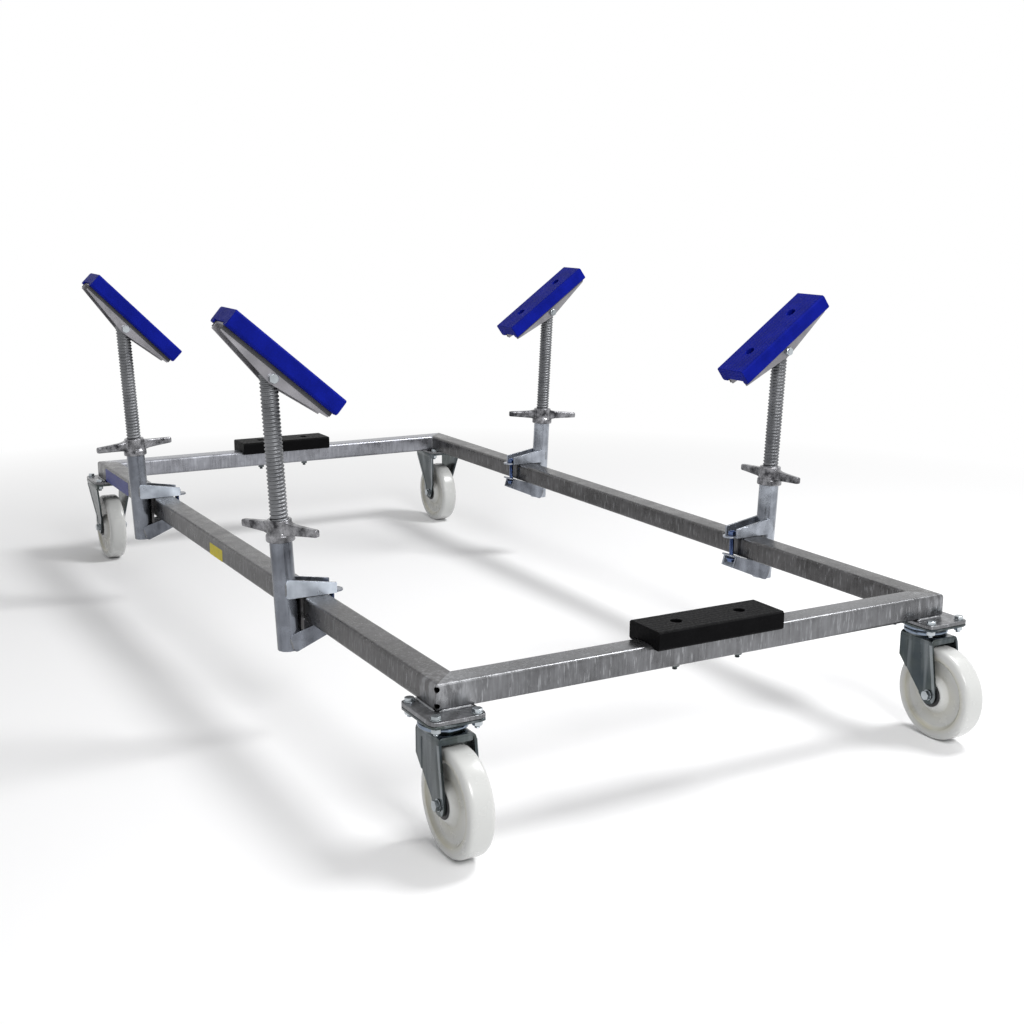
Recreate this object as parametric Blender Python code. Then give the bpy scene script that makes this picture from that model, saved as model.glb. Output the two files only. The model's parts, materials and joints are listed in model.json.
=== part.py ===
# A wheeled boat stand: a galvanised box-section frame on two swivel casters in front and
# two fixed ones behind, with a keel block across each end and four screw props whose clamps
# slide along the side rails and whose heads tilt a hull pad. Metres, +X along the side
# rails towards the front, +Z up, origin on the floor.
import bpy
import bmesh
from math import atan2, cos, pi, radians, sin, sqrt, tan
from mathutils import Matrix, Vector

# Clearances and mesh fineness
seat_gap = 0.0003
running_gap = 0.0004
overrun = 0.004
fine_segments = 32
round_segments = 16
bolt_segments = 8
corner_steps = 3

# Frame
frame_length = 2.400
frame_width = 1.210
rail_width = 0.060
rail_height = 0.050
rail_wall = 0.004
rail_corner_radius = 0.0075
vent_radius = 0.0045
vent_inset = 0.010

# Casters: wheels and axles
wheel_radius = 0.100
wheel_width = 0.050
tread_edge_radius = 0.009
rim_depth = 0.021
face_recess = 0.007
hub_radius = 0.030
hub_foot_radius = 0.042
hub_length = 0.058
axle_radius = 0.006
sleeve_radius = 0.010
bolt_head_radius = 0.0105
bolt_head_height = 0.0075
nut_height = 0.010

# Casters: plates, forks and races
wheel_headroom = 0.048
side_inset = 0.024
front_inset = 0.021
rear_inset = 0.030
swivel_trail = 0.0535
caster_plate_length = 0.135
caster_plate_width = 0.110
caster_plate_thickness = 0.005
caster_plate_corner = 0.014
corner_plate_thickness = 0.008
race_radius = 0.045
race_lip = 0.005
race_height = 0.0105
kingpin_radius = 0.008
kingpin_nut_radius = 0.013
kingpin_nut_height = 0.008
fork_wall = 0.005
fork_side_clearance = 0.003
fork_eye_radius = 0.021
fork_bend_radius = 0.009
fork_heel = 0.036
fork_lead = 0.055
fork_shoulder = 0.0545
fork_panel_depth = 0.0015
fork_panel_heel = 0.014
fork_panel_lead = 0.027
fork_panel_drop = 0.017
bracket_top_length = 0.128
bracket_top_width = 0.104
bracket_top_drop = 0.010
bracket_knee = 0.033

# Props: clamps
prop_lean = radians(2.7)
tube_radius = 0.02415
tube_wall = 0.004
tube_offset = 0.0305
tube_length = 0.237
tube_drop = 0.1145
arm_width = 0.046
arm_sheet = 0.004
upper_arm_root = 0.041
upper_arm_tip = 0.023
lower_arm_slope = radians(17)
lower_arm_root = 0.041
lower_arm_tip = 0.030
cheek_reach = 0.016
tongue_reach = 0.038
tie_bolt_offset = 0.013

# Props: screw and wing nut
screw_radius = 0.019
screw_bore = 0.0145
screw_length = 0.500
screw_end = 0.010
nut_flange_radius = 0.0305
nut_flange_height = 0.015
nut_body_radius = 0.026
nut_body_height = 0.051
handle_reach = 0.107
handle_level = 0.027
handle_root_height = 0.020
handle_root_width = 0.018
handle_tip_height = 0.0135
handle_tip_width = 0.012

# Props: heads and pads
pivot_radius = 0.006
spacer_radius = 0.010
pad_length = 0.300
pad_width = 0.100
pad_thickness = 0.038
pad_edge = 0.004
pad_groove_depth = 0.007
pad_groove_clearance = 0.001
pad_hole_radius = 0.012
pad_hole_depth = 0.024
pad_hole_spacing = 0.152
pad_stand_off = 0.020
bracket_width = 0.058
bracket_sheet = 0.004
bracket_length = 0.290
bracket_end_depth = 0.0115
bracket_apex_radius = 0.0125

# Props: setback of each tube from its end of the frame, and height of its pivot above
# the rail, as each prop is set
front_right_setback = 0.6465
rear_right_setback = 0.6170
front_left_setback = 0.6315
rear_left_setback = 0.6500
front_right_pivot = 0.465
rear_right_pivot = 0.471
front_left_pivot = 0.458
rear_left_pivot = 0.473

# Each prop: side of the frame, end of the frame, setback, height of its pivot, tilt of
# its pad and turn of its wing nut
props = {
    "front_right": (-1, 1, front_right_setback, front_right_pivot, radians(40.5), radians(25)),
    "rear_right": (-1, -1, rear_right_setback, rear_right_pivot, radians(45.0), radians(98.5)),
    "front_left": (1, 1, front_left_setback, front_left_pivot, radians(36.0), radians(0.4)),
    "rear_left": (1, -1, rear_left_setback, rear_left_pivot, radians(36.0), radians(73.7)),
}

# Heights and places that follow from the sizes above
caster_height = 2 * wheel_radius + wheel_headroom
rail_bottom = caster_height + seat_gap + corner_plate_thickness + seat_gap
rail_top = rail_bottom + rail_height
front_reach = swivel_trail + wheel_radius - front_inset
rear_reach = wheel_radius - rear_inset
frame_middle = -(front_reach - rear_reach) / 2
fork_inner = hub_length / 2 + fork_side_clearance
fork_outer = fork_inner + fork_wall
race_top = caster_height - caster_plate_thickness
race_split = race_top - race_height
crown_top = race_split - running_gap - race_height
crown_bottom = crown_top - fork_wall


def material(name, colour, roughness, metallic):
    made = bpy.data.materials.new(name)
    made.use_nodes = True
    shader = made.node_tree.nodes["Principled BSDF"]
    shader.inputs["Base Color"].default_value = (*colour, 1)
    shader.inputs["Roughness"].default_value = roughness
    shader.inputs["Metallic"].default_value = metallic
    made.diffuse_color = (*colour, 1)
    return made


def mesh_object(name, vertices, faces):
    mesh = bpy.data.meshes.new(name)
    mesh.from_pydata(vertices, [], faces)
    made = bpy.data.objects.new(name, mesh)
    bpy.context.scene.collection.objects.link(made)
    return made


def lofted(name, rings):
    """A closed solid through rings of equal counts, with a flat cap at each end."""
    count = len(rings[0])
    vertices = [point for ring in rings for point in ring]
    faces = []
    for row in range(len(rings) - 1):
        for i in range(count):
            j = (i + 1) % count
            faces.append((row * count + i, row * count + j,
                          (row + 1) * count + j, (row + 1) * count + i))
    faces.append(tuple(reversed(range(count))))
    faces.append(tuple(range((len(rings) - 1) * count, len(rings) * count)))
    return outward(mesh_object(name, vertices, faces))


def outward(made):
    shape = bmesh.new()
    shape.from_mesh(made.data)
    bmesh.ops.recalc_face_normals(shape, faces=shape.faces)
    if shape.calc_volume(signed=True) < 0:
        bmesh.ops.reverse_faces(shape, faces=shape.faces)
    shape.to_mesh(made.data)
    shape.free()
    return made


def turned(name, profile, segments):
    """Turns a closed profile of (radius, height) about Z. A radius of zero is a pole."""
    turn = 2 * pi / segments
    vertices, rings = [], []
    for radius, height in profile:
        if radius == 0:
            rings.append([len(vertices)] * segments)
            vertices.append((0, 0, height))
            continue
        rings.append(range(len(vertices), len(vertices) + segments))
        for i in range(segments):
            angle = turn * (i + 1 / 2)
            vertices.append((radius * cos(angle), radius * sin(angle), height))
    faces = []
    for row, ring in enumerate(rings):
        above = rings[(row + 1) % len(rings)]
        if ring[0] == ring[1] and above[0] == above[1]:
            continue
        for i in range(segments):
            j = (i + 1) % segments
            corners = (ring[i], ring[j], above[j], above[i])
            faces.append(tuple(dict.fromkeys(corners)))
    return outward(mesh_object(name, vertices, faces))


def prism(name, outline, low, high, axis="Z"):
    """Extrudes an outline of pairs from low to high along an axis."""
    place = {
        "X": lambda a, b, c: (c, a, b),
        "Y": lambda a, b, c: (a, c, b),
        "Z": lambda a, b, c: (a, b, c),
    }[axis]
    rings = [[place(a, b, level) for a, b in outline] for level in (low, high)]
    return lofted(name, rings)


def arc(centre, radius, start, end, steps):
    """Points of an arc about a centre, angles in radians."""
    return [(centre[0] + radius * cos(start + (end - start) * i / steps),
             centre[1] + radius * sin(start + (end - start) * i / steps))
            for i in range(steps + 1)]


def rounded_box(width, height, radius, steps=corner_steps):
    """Outline of a rounded rectangle about its middle, anticlockwise."""
    points = []
    corners = ((1, 1), (-1, 1), (-1, -1), (1, -1))
    for quarter, (side, up) in enumerate(corners):
        centre = (side * (width / 2 - radius), up * (height / 2 - radius))
        points += arc(centre, radius, quarter * pi / 2, (quarter + 1) * pi / 2, steps)
    return points


def combined(base, other, operation):
    """Applies a Boolean of another solid to a base solid and removes the other."""
    modifier = base.modifiers.new(operation.lower(), "BOOLEAN")
    modifier.operation = operation
    modifier.solver = "EXACT"
    modifier.object = other
    bpy.context.view_layer.update()
    evaluated = base.evaluated_get(bpy.context.evaluated_depsgraph_get())
    mesh = bpy.data.meshes.new_from_object(evaluated)
    base.modifiers.clear()
    base.data = mesh
    bpy.data.objects.remove(other)
    return base


def joined(base, *others):
    for other in others:
        combined(base, other, "UNION")
    return base


def cut(base, *cutters):
    for cutter in cutters:
        combined(base, cutter, "DIFFERENCE")
    return base


def moved(made, matrix):
    made.data.transform(matrix)
    return made


def bar(name, radius, start, end, segments, axis="Z"):
    """A round bar between two places on an axis."""
    made = turned(name, [(0, start), (radius, start), (radius, end), (0, end)], segments)
    return moved(made, axis_turn(axis))


def axis_turn(axis):
    """Turns what was made about Z to lie about another axis."""
    return {
        "X": Matrix.Rotation(pi / 2, 4, "Y"),
        "Y": Matrix.Rotation(-pi / 2, 4, "X"),
        "Z": Matrix.Identity(4),
    }[axis]


def hexagon(name, radius, start, end, axis="Z"):
    """A hexagon nut or head whose corners lie at the radius."""
    made = turned(name, [(0, start), (radius, start), (radius, end), (0, end)], 6)
    return moved(made, axis_turn(axis))


def finished(made, look):
    """Gives a piece its material and shades its round faces smooth."""
    made.data.materials.clear()
    made.data.materials.append(look)
    made.data.shade_smooth()
    made.data.set_sharp_from_angle(angle=radians(35))
    return made


def rail(name, length, look):
    """A box-section rail about X with mitred ends, its outer face towards -Y."""
    outer = rounded_box(rail_width, rail_height, rail_corner_radius)
    inner = rounded_box(rail_width - 2 * rail_wall, rail_height - 2 * rail_wall,
                        rail_corner_radius - rail_wall)
    mitre_gap = seat_gap * sqrt(2) / 2
    rings = []
    for outline in (outer, inner):
        for end in (-1, 1):
            rings.append([(end * (length / 2 - (across + rail_width / 2) - mitre_gap),
                           across, up) for across, up in outline])
    count = len(outer)
    vertices = [point for ring in rings for point in ring]
    faces = []
    for first, second in ((0, 1), (1, 3), (3, 2), (2, 0)):
        for i in range(count):
            j = (i + 1) % count
            faces.append((first * count + i, first * count + j,
                          second * count + j, second * count + i))
    made = outward(mesh_object(name, vertices, faces))
    for end in (-1, 1):
        for up in (-1, 1):
            cut(made, vent(end, length, up * (rail_height / 2 - vent_inset)))
    return finished(made, look)


def vent(end, length, height):
    """Cutter of a galvanising vent: a short bar along the mitre, through the outer edge."""
    made = bar("vent", vent_radius, -overrun, 3 * rail_wall, bolt_segments, "X")
    moved(made, Matrix.Rotation(pi / 4 if end < 0 else 3 * pi / 4, 4, "Z"))
    return moved(made, Matrix.Translation((end * length / 2, -rail_width / 2, height)))


def make_frame(steel):
    middle = Vector((frame_middle, 0, rail_bottom + rail_height / 2))
    side = frame_width / 2 - rail_width / 2
    end = frame_length / 2 - rail_width / 2
    for name, length, offset, turn in (
            ("rail_right", frame_length, (0, -side, 0), 0),
            ("rail_front", frame_width, (end, 0, 0), pi / 2),
            ("rail_left", frame_length, (0, side, 0), pi),
            ("rail_rear", frame_width, (-end, 0, 0), -pi / 2)):
        made = rail(name, length, steel)
        made.matrix_world = (Matrix.Translation(middle + Vector(offset))
                             @ Matrix.Rotation(turn, 4, "Z"))


def plate_outline():
    return rounded_box(caster_plate_length, caster_plate_width, caster_plate_corner, 2)


def caster_plate(name, look):
    """The caster's bolted plate with the fixed race and the kingpin that holds the fork."""
    made = prism(name, plate_outline(), race_top, caster_height)
    race = turned("race", [(0, race_top - overrun), (0, race_split),
                           (race_radius - race_lip, race_split),
                           (race_radius, race_split + race_lip),
                           (race_radius, race_top + overrun / 2),
                           (0, race_top + overrun / 2)], round_segments)
    nut_top = crown_bottom - running_gap
    pin = turned("pin", [(0, nut_top - kingpin_nut_height),
                         (kingpin_nut_radius, nut_top - kingpin_nut_height),
                         (kingpin_nut_radius, nut_top), (kingpin_radius, nut_top),
                         (kingpin_radius, race_split + overrun),
                         (0, race_split + overrun)], round_segments)
    return finished(joined(made, race, pin), look)


def touch(point, centre, radius, turn):
    """Angle at which the line from a point touches a circle, turn 1 to its left, -1 right."""
    reach = Vector(point) - Vector(centre)
    share = radius / reach.length
    return atan2(reach.y, reach.x) + turn * atan2(sqrt(1 - share * share), share)


def leg_outline(trail, heel, heel_level, lead, top):
    """Side view of a fork leg: level at the top, narrowing to the round eye at the axle."""
    axle = (trail, wheel_radius)
    start = touch((heel, heel_level), axle, fork_eye_radius, 1)
    end = touch((lead, top), axle, fork_eye_radius, -1) + 2 * pi
    eye = arc(axle, fork_eye_radius, start, end, 8)
    outline = [(heel, heel_level)] + eye + [(lead, top)]
    if heel_level < top:
        outline.append((heel, top))
    return outline


def mirrored(half):
    """A half outline and its mirror image across zero, as one closed outline."""
    return half + [(-a, b) for a, b in reversed(half)]


def axle_hole(trail):
    reach = bracket_top_width / 2
    made = bar("axle_hole", bore(axle_radius, bolt_segments), -reach, reach,
               bolt_segments, "Y")
    return moved(made, Matrix.Translation((trail, 0, wheel_radius)))


def bore(radius, segments):
    """Radius of a faceted hole in which a round piece of this radius turns freely."""
    return (radius + running_gap) / cos(pi / segments)


def fork(name, look):
    """A pressed swivel fork: a bent U across Y, trimmed to its side view, with a pressed
    panel in each leg and the moving race on its crown."""
    low = wheel_radius - fork_eye_radius - overrun
    bend = (fork_outer - fork_bend_radius, crown_top - fork_bend_radius)
    outer = [(fork_outer, low)] + arc(bend, fork_bend_radius, 0, pi / 2, 3)
    inner = [(fork_inner, low)] + arc(bend, fork_bend_radius - fork_wall, 0, pi / 2, 3)
    outline = mirrored(outer) + list(reversed(mirrored(inner)))
    reach = swivel_trail + wheel_radius
    made = prism(name, outline, -reach, reach, "X")
    profile = leg_outline(swivel_trail, -fork_heel, crown_top - fork_shoulder,
                          fork_lead, crown_top)
    side = prism("side", profile, -fork_outer - overrun, fork_outer + overrun, "Y")
    combined(made, side, "INTERSECT")
    race = turned("race", [(0, crown_top - fork_wall / 2), (0, race_split - running_gap),
                           (race_radius, race_split - running_gap),
                           (race_radius, crown_top + race_lip),
                           (race_radius - race_lip, crown_top - fork_wall / 2)],
                  round_segments)
    joined(made, race)
    pin_hole = bar("pin_hole", bore(kingpin_radius, round_segments),
                   crown_bottom - overrun, race_split + overrun, round_segments)
    cut(made, pin_hole, axle_hole(swivel_trail))
    panel = [(-fork_panel_heel, 0), (fork_panel_lead, 0),
             (fork_panel_lead, crown_top - fork_panel_drop),
             (-fork_panel_heel, crown_top - fork_panel_drop)]
    for side in (-1, 1):
        inside = side * (fork_outer - fork_panel_depth)
        outside = side * (fork_outer + overrun)
        cut(made, prism("panel", panel, inside, outside, "Y"))
    return finished(made, look)


def caster_bracket(name, look):
    """A fixed caster's plate with two legs that flare from the axle to the plate's edges."""
    low = wheel_radius - fork_eye_radius - overrun
    knee = wheel_radius + bracket_knee
    wide = bracket_top_width / 2
    level = race_top - bracket_top_drop
    inside = race_top + caster_plate_thickness / 2
    outer = [(fork_outer, low), (fork_outer, knee), (wide, level), (wide, inside)]
    inner = [(a - fork_wall, b) for a, b in outer]
    profile = leg_outline(0, -bracket_top_length / 2, inside, bracket_top_length / 2, inside)
    made = prism(name, plate_outline(), race_top, caster_height)
    for side in (-1, 1):
        section = [(side * a, b) for a, b in outer + list(reversed(inner))]
        leg = prism("leg", section, -bracket_top_length, bracket_top_length, "X")
        combined(leg, prism("side", profile, -wide - overrun, wide + overrun, "Y"),
                 "INTERSECT")
        joined(made, leg)
    return finished(cut(made, axle_hole(0)), look)


def axle(name, look):
    """The axle bolt about Y with its head, its nut and the sleeve between the fork's legs."""
    seat = fork_outer + seat_gap
    sleeve = fork_inner - seat_gap
    tip = seat + nut_height
    made = turned(name, [(0, -seat - overrun / 2), (axle_radius, -seat - overrun / 2),
                         (axle_radius, -sleeve), (sleeve_radius, -sleeve),
                         (sleeve_radius, sleeve), (axle_radius, sleeve),
                         (axle_radius, tip), (0, tip)], bolt_segments)
    moved(made, axis_turn("Y"))
    head = hexagon("head", bolt_head_radius, -seat - bolt_head_height, -seat, "Y")
    nut = hexagon("nut", bolt_head_radius, seat, seat + bolt_head_height, "Y")
    joined(made, head, nut)
    return finished(made, look)


def wheel(name, look):
    """A solid wheel about Y: a rounded tread, a recessed face each side and a long hub."""
    flat = wheel_radius / cos(pi / fine_segments)
    half = wheel_width / 2
    edge = arc((flat - tread_edge_radius, half - tread_edge_radius), tread_edge_radius,
               0, pi / 2, corner_steps)
    rim = flat - rim_depth
    web = half - face_recess
    inside = bore(sleeve_radius, fine_segments)
    side = edge + [(rim, half), (rim - face_recess, web),
                   (hub_foot_radius, web), (hub_radius, hub_length / 2),
                   (inside, hub_length / 2)]
    profile = side + [(a, -b) for a, b in reversed(side)]
    made = turned(name, profile, fine_segments)
    return finished(moved(made, axis_turn("Y")), look)


def make_casters(looks):
    """Swivel casters in front, with their trail to +X, and fixed casters behind."""
    for end_name, end, inset, trail in (("front", 1, front_inset, swivel_trail),
                                        ("rear", -1, rear_inset, 0)):
        for side_name, side in (("right", -1), ("left", 1)):
            place = f"{end_name}_{side_name}"
            root = bpy.data.objects.new(f"caster_{place}", None)
            bpy.context.scene.collection.objects.link(root)
            root.location = (frame_middle + end * (frame_length / 2 - inset),
                             side * (frame_width / 2 - side_inset), 0)
            plate = prism(f"corner_plate_{place}", plate_outline(),
                          caster_height + seat_gap, rail_bottom - seat_gap)
            finished(plate, looks["galvanised"]).parent = root
            if end > 0:
                caster_plate(f"caster_plate_{place}", looks["zinc"]).parent = root
                fork(f"fork_{place}", looks["zinc"]).parent = root
            else:
                caster_bracket(f"caster_bracket_{place}", looks["zinc"]).parent = root
            for made in (axle(f"axle_{place}", looks["zinc"]),
                         wheel(f"wheel_{place}", looks["nylon"])):
                made.parent = root
                made.location = (trail, 0, wheel_radius)


def grooved_block(name, look):
    """A block along Y with chamfered edges, a groove below and two counterbored holes.
    Its underside is at zero."""
    half_width = pad_width / 2
    groove = (rail_width + pad_groove_clearance) / 2
    upper = [(half_width, pad_thickness - pad_edge), (half_width - pad_edge, pad_thickness)]
    half = [(groove, pad_groove_depth), (groove, 0), (half_width - pad_edge, 0),
            (half_width, pad_edge)] + upper
    outline = half + [(-a, b) for a, b in reversed(half)]
    made = prism(name, outline, -pad_length / 2, pad_length / 2, "Y")
    holes = []
    for end in (-1, 1):
        hole = bar("hole", pad_hole_radius, pad_thickness - pad_hole_depth,
                   pad_thickness + overrun, bolt_segments)
        holes.append(moved(hole, Matrix.Translation((0, end * pad_hole_spacing / 2, 0))))
    return finished(cut(made, *holes), look)


def make_keel_blocks(look):
    for name, end in (("keel_block_front", 1), ("keel_block_rear", -1)):
        made = grooved_block(name, look)
        made.location = (frame_middle + end * (frame_length / 2 - rail_width / 2), 0,
                         rail_top + seat_gap - pad_groove_depth)


def channel_arm(name, outline, web_top):
    """A channel arm along Y: its side outline across X, with the space above its web
    cut away. web_top is the outline of that space."""
    arm = prism(name, outline, -arm_width / 2, arm_width / 2, "X")
    space = prism("space", web_top, -arm_width / 2 + arm_sheet, arm_width / 2 - arm_sheet, "X")
    return cut(arm, space)


def tongue(name, start, end, low, high):
    """The round-nosed flat that runs on from a channel arm's web, along Y."""
    nose = arm_width / 2 - arm_sheet
    outline = [(nose, start)] + arc((0, end - nose), nose, 0, pi, 6) + [(-nose, start)]
    return prism(name, outline, low, high)


def upper_arm():
    """Arm that lies on the rail: a channel open above, deepest at the tube."""
    root = -tube_offset
    tip = rail_width + cheek_reach
    base = seat_gap
    outline = [(root, base), (tip, base), (tip, base + upper_arm_tip),
               (root, base + upper_arm_root)]
    space = [(root - overrun, base + arm_sheet), (tip + overrun, base + arm_sheet),
             (tip + overrun, base + upper_arm_root + overrun),
             (root - overrun, base + upper_arm_root + overrun)]
    made = channel_arm("upper_arm", outline, space)
    nose = tongue("tongue", tip - overrun, rail_width + tongue_reach, base, base + arm_sheet)
    return joined(made, nose)


def lower_arm():
    """Arm below the rail: a channel open below, sloped so that it grips the inner edge."""
    reach = rail_width + tube_offset
    tip = cheek_reach
    outline = [(-reach, 0), (tip, 0), (tip, -lower_arm_tip), (-reach, -lower_arm_root)]
    space = [(-reach - overrun, -arm_sheet), (-reach - overrun, -lower_arm_root - overrun),
             (tip + overrun, -lower_arm_root - overrun), (tip + overrun, -arm_sheet)]
    made = channel_arm("lower_arm", outline, space)
    nose = tongue("tongue", tip - overrun, tongue_reach, -arm_sheet, 0)
    joined(made, nose)
    grip = Matrix.Translation((0, rail_width, -rail_height - seat_gap))
    return moved(made, grip @ Matrix.Rotation(lower_arm_slope, 4, "X"))


def prop_axis():
    """Places Z along the leaning tube, from its axis at the height of the rail's middle."""
    return (Matrix.Translation((0, -tube_offset, -rail_height / 2))
            @ Matrix.Rotation(prop_lean, 4, "X"))


def clamp_post(name, look):
    """The leaning tube with its two clamp arms. Y runs inboard from the rail's outer face
    and zero height is the rail's top."""
    bottom = rail_height / 2 - tube_drop
    outer = bar(name, tube_radius, bottom, bottom + tube_length, round_segments)
    moved(outer, prop_axis())
    joined(outer, upper_arm(), lower_arm())
    inside = bar("inside", tube_radius - tube_wall, bottom - overrun,
                 bottom + tube_length + overrun, round_segments)
    moved(inside, prop_axis())
    hole = bar("hole", bore(axle_radius, bolt_segments), -tube_drop, upper_arm_root,
               bolt_segments)
    moved(hole, Matrix.Translation((0, rail_width + tie_bolt_offset, 0)))
    return finished(cut(outer, inside, hole), look)


def tie_bolt(name, look):
    """The bolt that draws the arms together: a nut above, and below a washer whose upper
    face follows the lower arm's slope, on a hexagon head."""
    web = -rail_height - seat_gap + tie_bolt_offset * tan(lower_arm_slope)
    under = web - arm_sheet / cos(lower_arm_slope)
    lift = bolt_head_radius * tan(lower_arm_slope)
    washer_low = under - lift - arm_sheet / 2
    top = 2 * seat_gap + arm_sheet
    made = bar(name, axle_radius, washer_low - bolt_head_height / 2,
               top + nut_height + overrun / 2, bolt_segments)
    washer = bar("washer", bolt_head_radius, washer_low, under + lift + overrun,
                 bolt_segments)
    size = 2 * bolt_head_radius
    slope = prism("slope", [(-size, -size), (size, -size), (size, size), (-size, size)],
                  0, size)
    seat = Matrix.Translation((0, 0, under - seat_gap))
    cut(washer, moved(slope, seat @ Matrix.Rotation(lower_arm_slope, 4, "X")))
    head = hexagon("head", bolt_head_radius, washer_low - bolt_head_height, washer_low
                   + seat_gap)
    nut = hexagon("nut", bolt_head_radius, top, top + nut_height)
    return finished(joined(made, washer, head, nut), look)


def wing_nut(name, look):
    """The cast nut: a flanged round body with two tapered handles, threaded on the screw."""
    waist = nut_flange_height + nut_flange_radius - nut_body_radius
    made = turned(name, [(0, 0), (nut_flange_radius, 0),
                         (nut_flange_radius, nut_flange_height), (nut_body_radius, waist),
                         (nut_body_radius, nut_body_height), (0, nut_body_height)],
                  round_segments)
    root = nut_body_radius - overrun
    for side in (-1, 1):
        rings = []
        for reach, height, width in ((root, handle_root_height, handle_root_width),
                                     (handle_reach, handle_tip_height, handle_tip_width)):
            corner = handle_tip_width / 3
            outline = rounded_box(width, height, corner, 1)
            rings.append([(side * reach, a, b + handle_level) for a, b in outline])
        joined(made, lofted("handle", rings))
    hole = bar("hole", bore(screw_radius, round_segments), -overrun,
               nut_body_height + overrun, round_segments)
    return finished(cut(made, hole), look)


def screw(name, look):
    """The hollow screw, with its pivot hole at zero near its upper end."""
    made = turned(name, [(screw_bore, screw_end - screw_length),
                         (screw_radius, screw_end - screw_length),
                         (screw_radius, screw_end), (screw_bore, screw_end)],
                  round_segments)
    hole = bar("hole", bore(pivot_radius, bolt_segments), -screw_radius - overrun,
               screw_radius + overrun, bolt_segments, "X")
    return finished(cut(made, hole), look)


def pivot_bolt(name, look):
    """The bolt about X that carries the head, with a spacer each side of the screw."""
    seat = bracket_width / 2 + seat_gap
    inner = bracket_width / 2 - bracket_sheet - seat_gap
    spacer = screw_radius + seat_gap
    half = [(pivot_radius, spacer), (spacer_radius, spacer), (spacer_radius, inner),
            (pivot_radius, inner)]
    profile = ([(0, -seat - overrun / 2), (pivot_radius, -seat - overrun / 2)]
               + [(a, -b) for a, b in reversed(half)] + half
               + [(pivot_radius, seat + nut_height), (0, seat + nut_height)])
    made = moved(turned(name, profile, bolt_segments), axis_turn("X"))
    head = hexagon("head", bolt_head_radius, -seat - bolt_head_height, -seat, "X")
    nut = hexagon("nut", bolt_head_radius, seat, seat + bolt_head_height, "X")
    return finished(joined(made, head, nut), look)


def head_bracket(name, look):
    """A channel along Y under the pad whose cheeks taper from their apex at the pivot."""
    web_top = pad_stand_off + pad_groove_depth - seat_gap
    edge = pad_stand_off - bracket_end_depth
    half_length = bracket_length / 2
    side = touch((half_length, edge), (0, 0), bracket_apex_radius, -1)
    apex = arc((0, 0), bracket_apex_radius, -pi - side, side, 4)
    outline = ([(-half_length, web_top), (-half_length, edge)] + apex
               + [(half_length, edge), (half_length, web_top)])
    made = prism(name, outline, -bracket_width / 2, bracket_width / 2, "X")
    inner = bracket_width / 2 - bracket_sheet
    floor = -bracket_apex_radius - overrun
    end = half_length + overrun
    space = prism("space", [(-end, floor), (end, floor), (end, web_top - bracket_sheet),
                            (-end, web_top - bracket_sheet)], -inner, inner, "X")
    hole = bar("hole", bore(pivot_radius, bolt_segments), -bracket_width, bracket_width,
               bolt_segments, "X")
    return finished(cut(made, space, hole), look)


def make_props(looks):
    for place, (side, end, setback, height, tilt, turn) in props.items():
        root = bpy.data.objects.new(f"clamp_{place}", None)
        bpy.context.scene.collection.objects.link(root)
        turned_side = 0 if side < 0 else pi
        root.matrix_world = (
            Matrix.Translation((frame_middle + end * (frame_length / 2 - setback),
                                side * frame_width / 2, rail_top))
            @ Matrix.Rotation(turned_side, 4, "Z"))
        along = prop_axis()
        tube_top = rail_height / 2 - tube_drop + tube_length
        rise = (height + rail_height / 2) / cos(prop_lean)
        pieces = [
            (clamp_post(f"clamp_post_{place}", looks["galvanised"]), Matrix.Identity(4)),
            (tie_bolt(f"tie_bolt_{place}", looks["zinc"]),
             Matrix.Translation((0, rail_width + tie_bolt_offset, 0))),
            (wing_nut(f"wing_nut_{place}", looks["cast"]),
             along @ Matrix.Translation((0, 0, tube_top + seat_gap))
             @ Matrix.Rotation(turn, 4, "Z")),
            (screw(f"screw_{place}", looks["galvanised"]),
             along @ Matrix.Translation((0, 0, rise))),
            (pivot_bolt(f"pivot_bolt_{place}", looks["zinc"]),
             along @ Matrix.Translation((0, 0, rise))),
        ]
        pivot = (along @ Matrix.Translation((0, 0, rise))).translation
        head = Matrix.Translation(pivot) @ Matrix.Rotation(-tilt, 4, "X")
        pieces.append((head_bracket(f"head_bracket_{place}", looks["galvanised"]), head))
        pieces.append((grooved_block(f"pad_{place}", looks["pad"]),
                       head @ Matrix.Translation((0, 0, pad_stand_off))))
        for made, matrix in pieces:
            made.parent = root
            made.matrix_basis = matrix


def main():
    for old in list(bpy.data.objects):
        bpy.data.objects.remove(old)
    looks = {
        "galvanised": material("galvanised", (0.42, 0.43, 0.45), 0.38, 0.9),
        "zinc": material("zinc", (0.55, 0.6, 0.62), 0.28, 1.0),
        "cast": material("cast", (0.3, 0.28, 0.27), 0.5, 0.85),
        "nylon": material("nylon", (0.83, 0.82, 0.78), 0.35, 0.0),
        "pad": material("pad", (0.01, 0.02, 0.36), 0.5, 0.0),
        "rubber": material("rubber", (0.015, 0.015, 0.017), 0.6, 0.0),
    }
    make_frame(looks["galvanised"])
    make_casters(looks)
    make_keel_blocks(looks["rubber"])
    make_props(looks)


main()
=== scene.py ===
import json
from math import cos, pi, radians, sin, tan

import bmesh
import bpy
import numpy as np
from mathutils import Matrix, Vector

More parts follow.
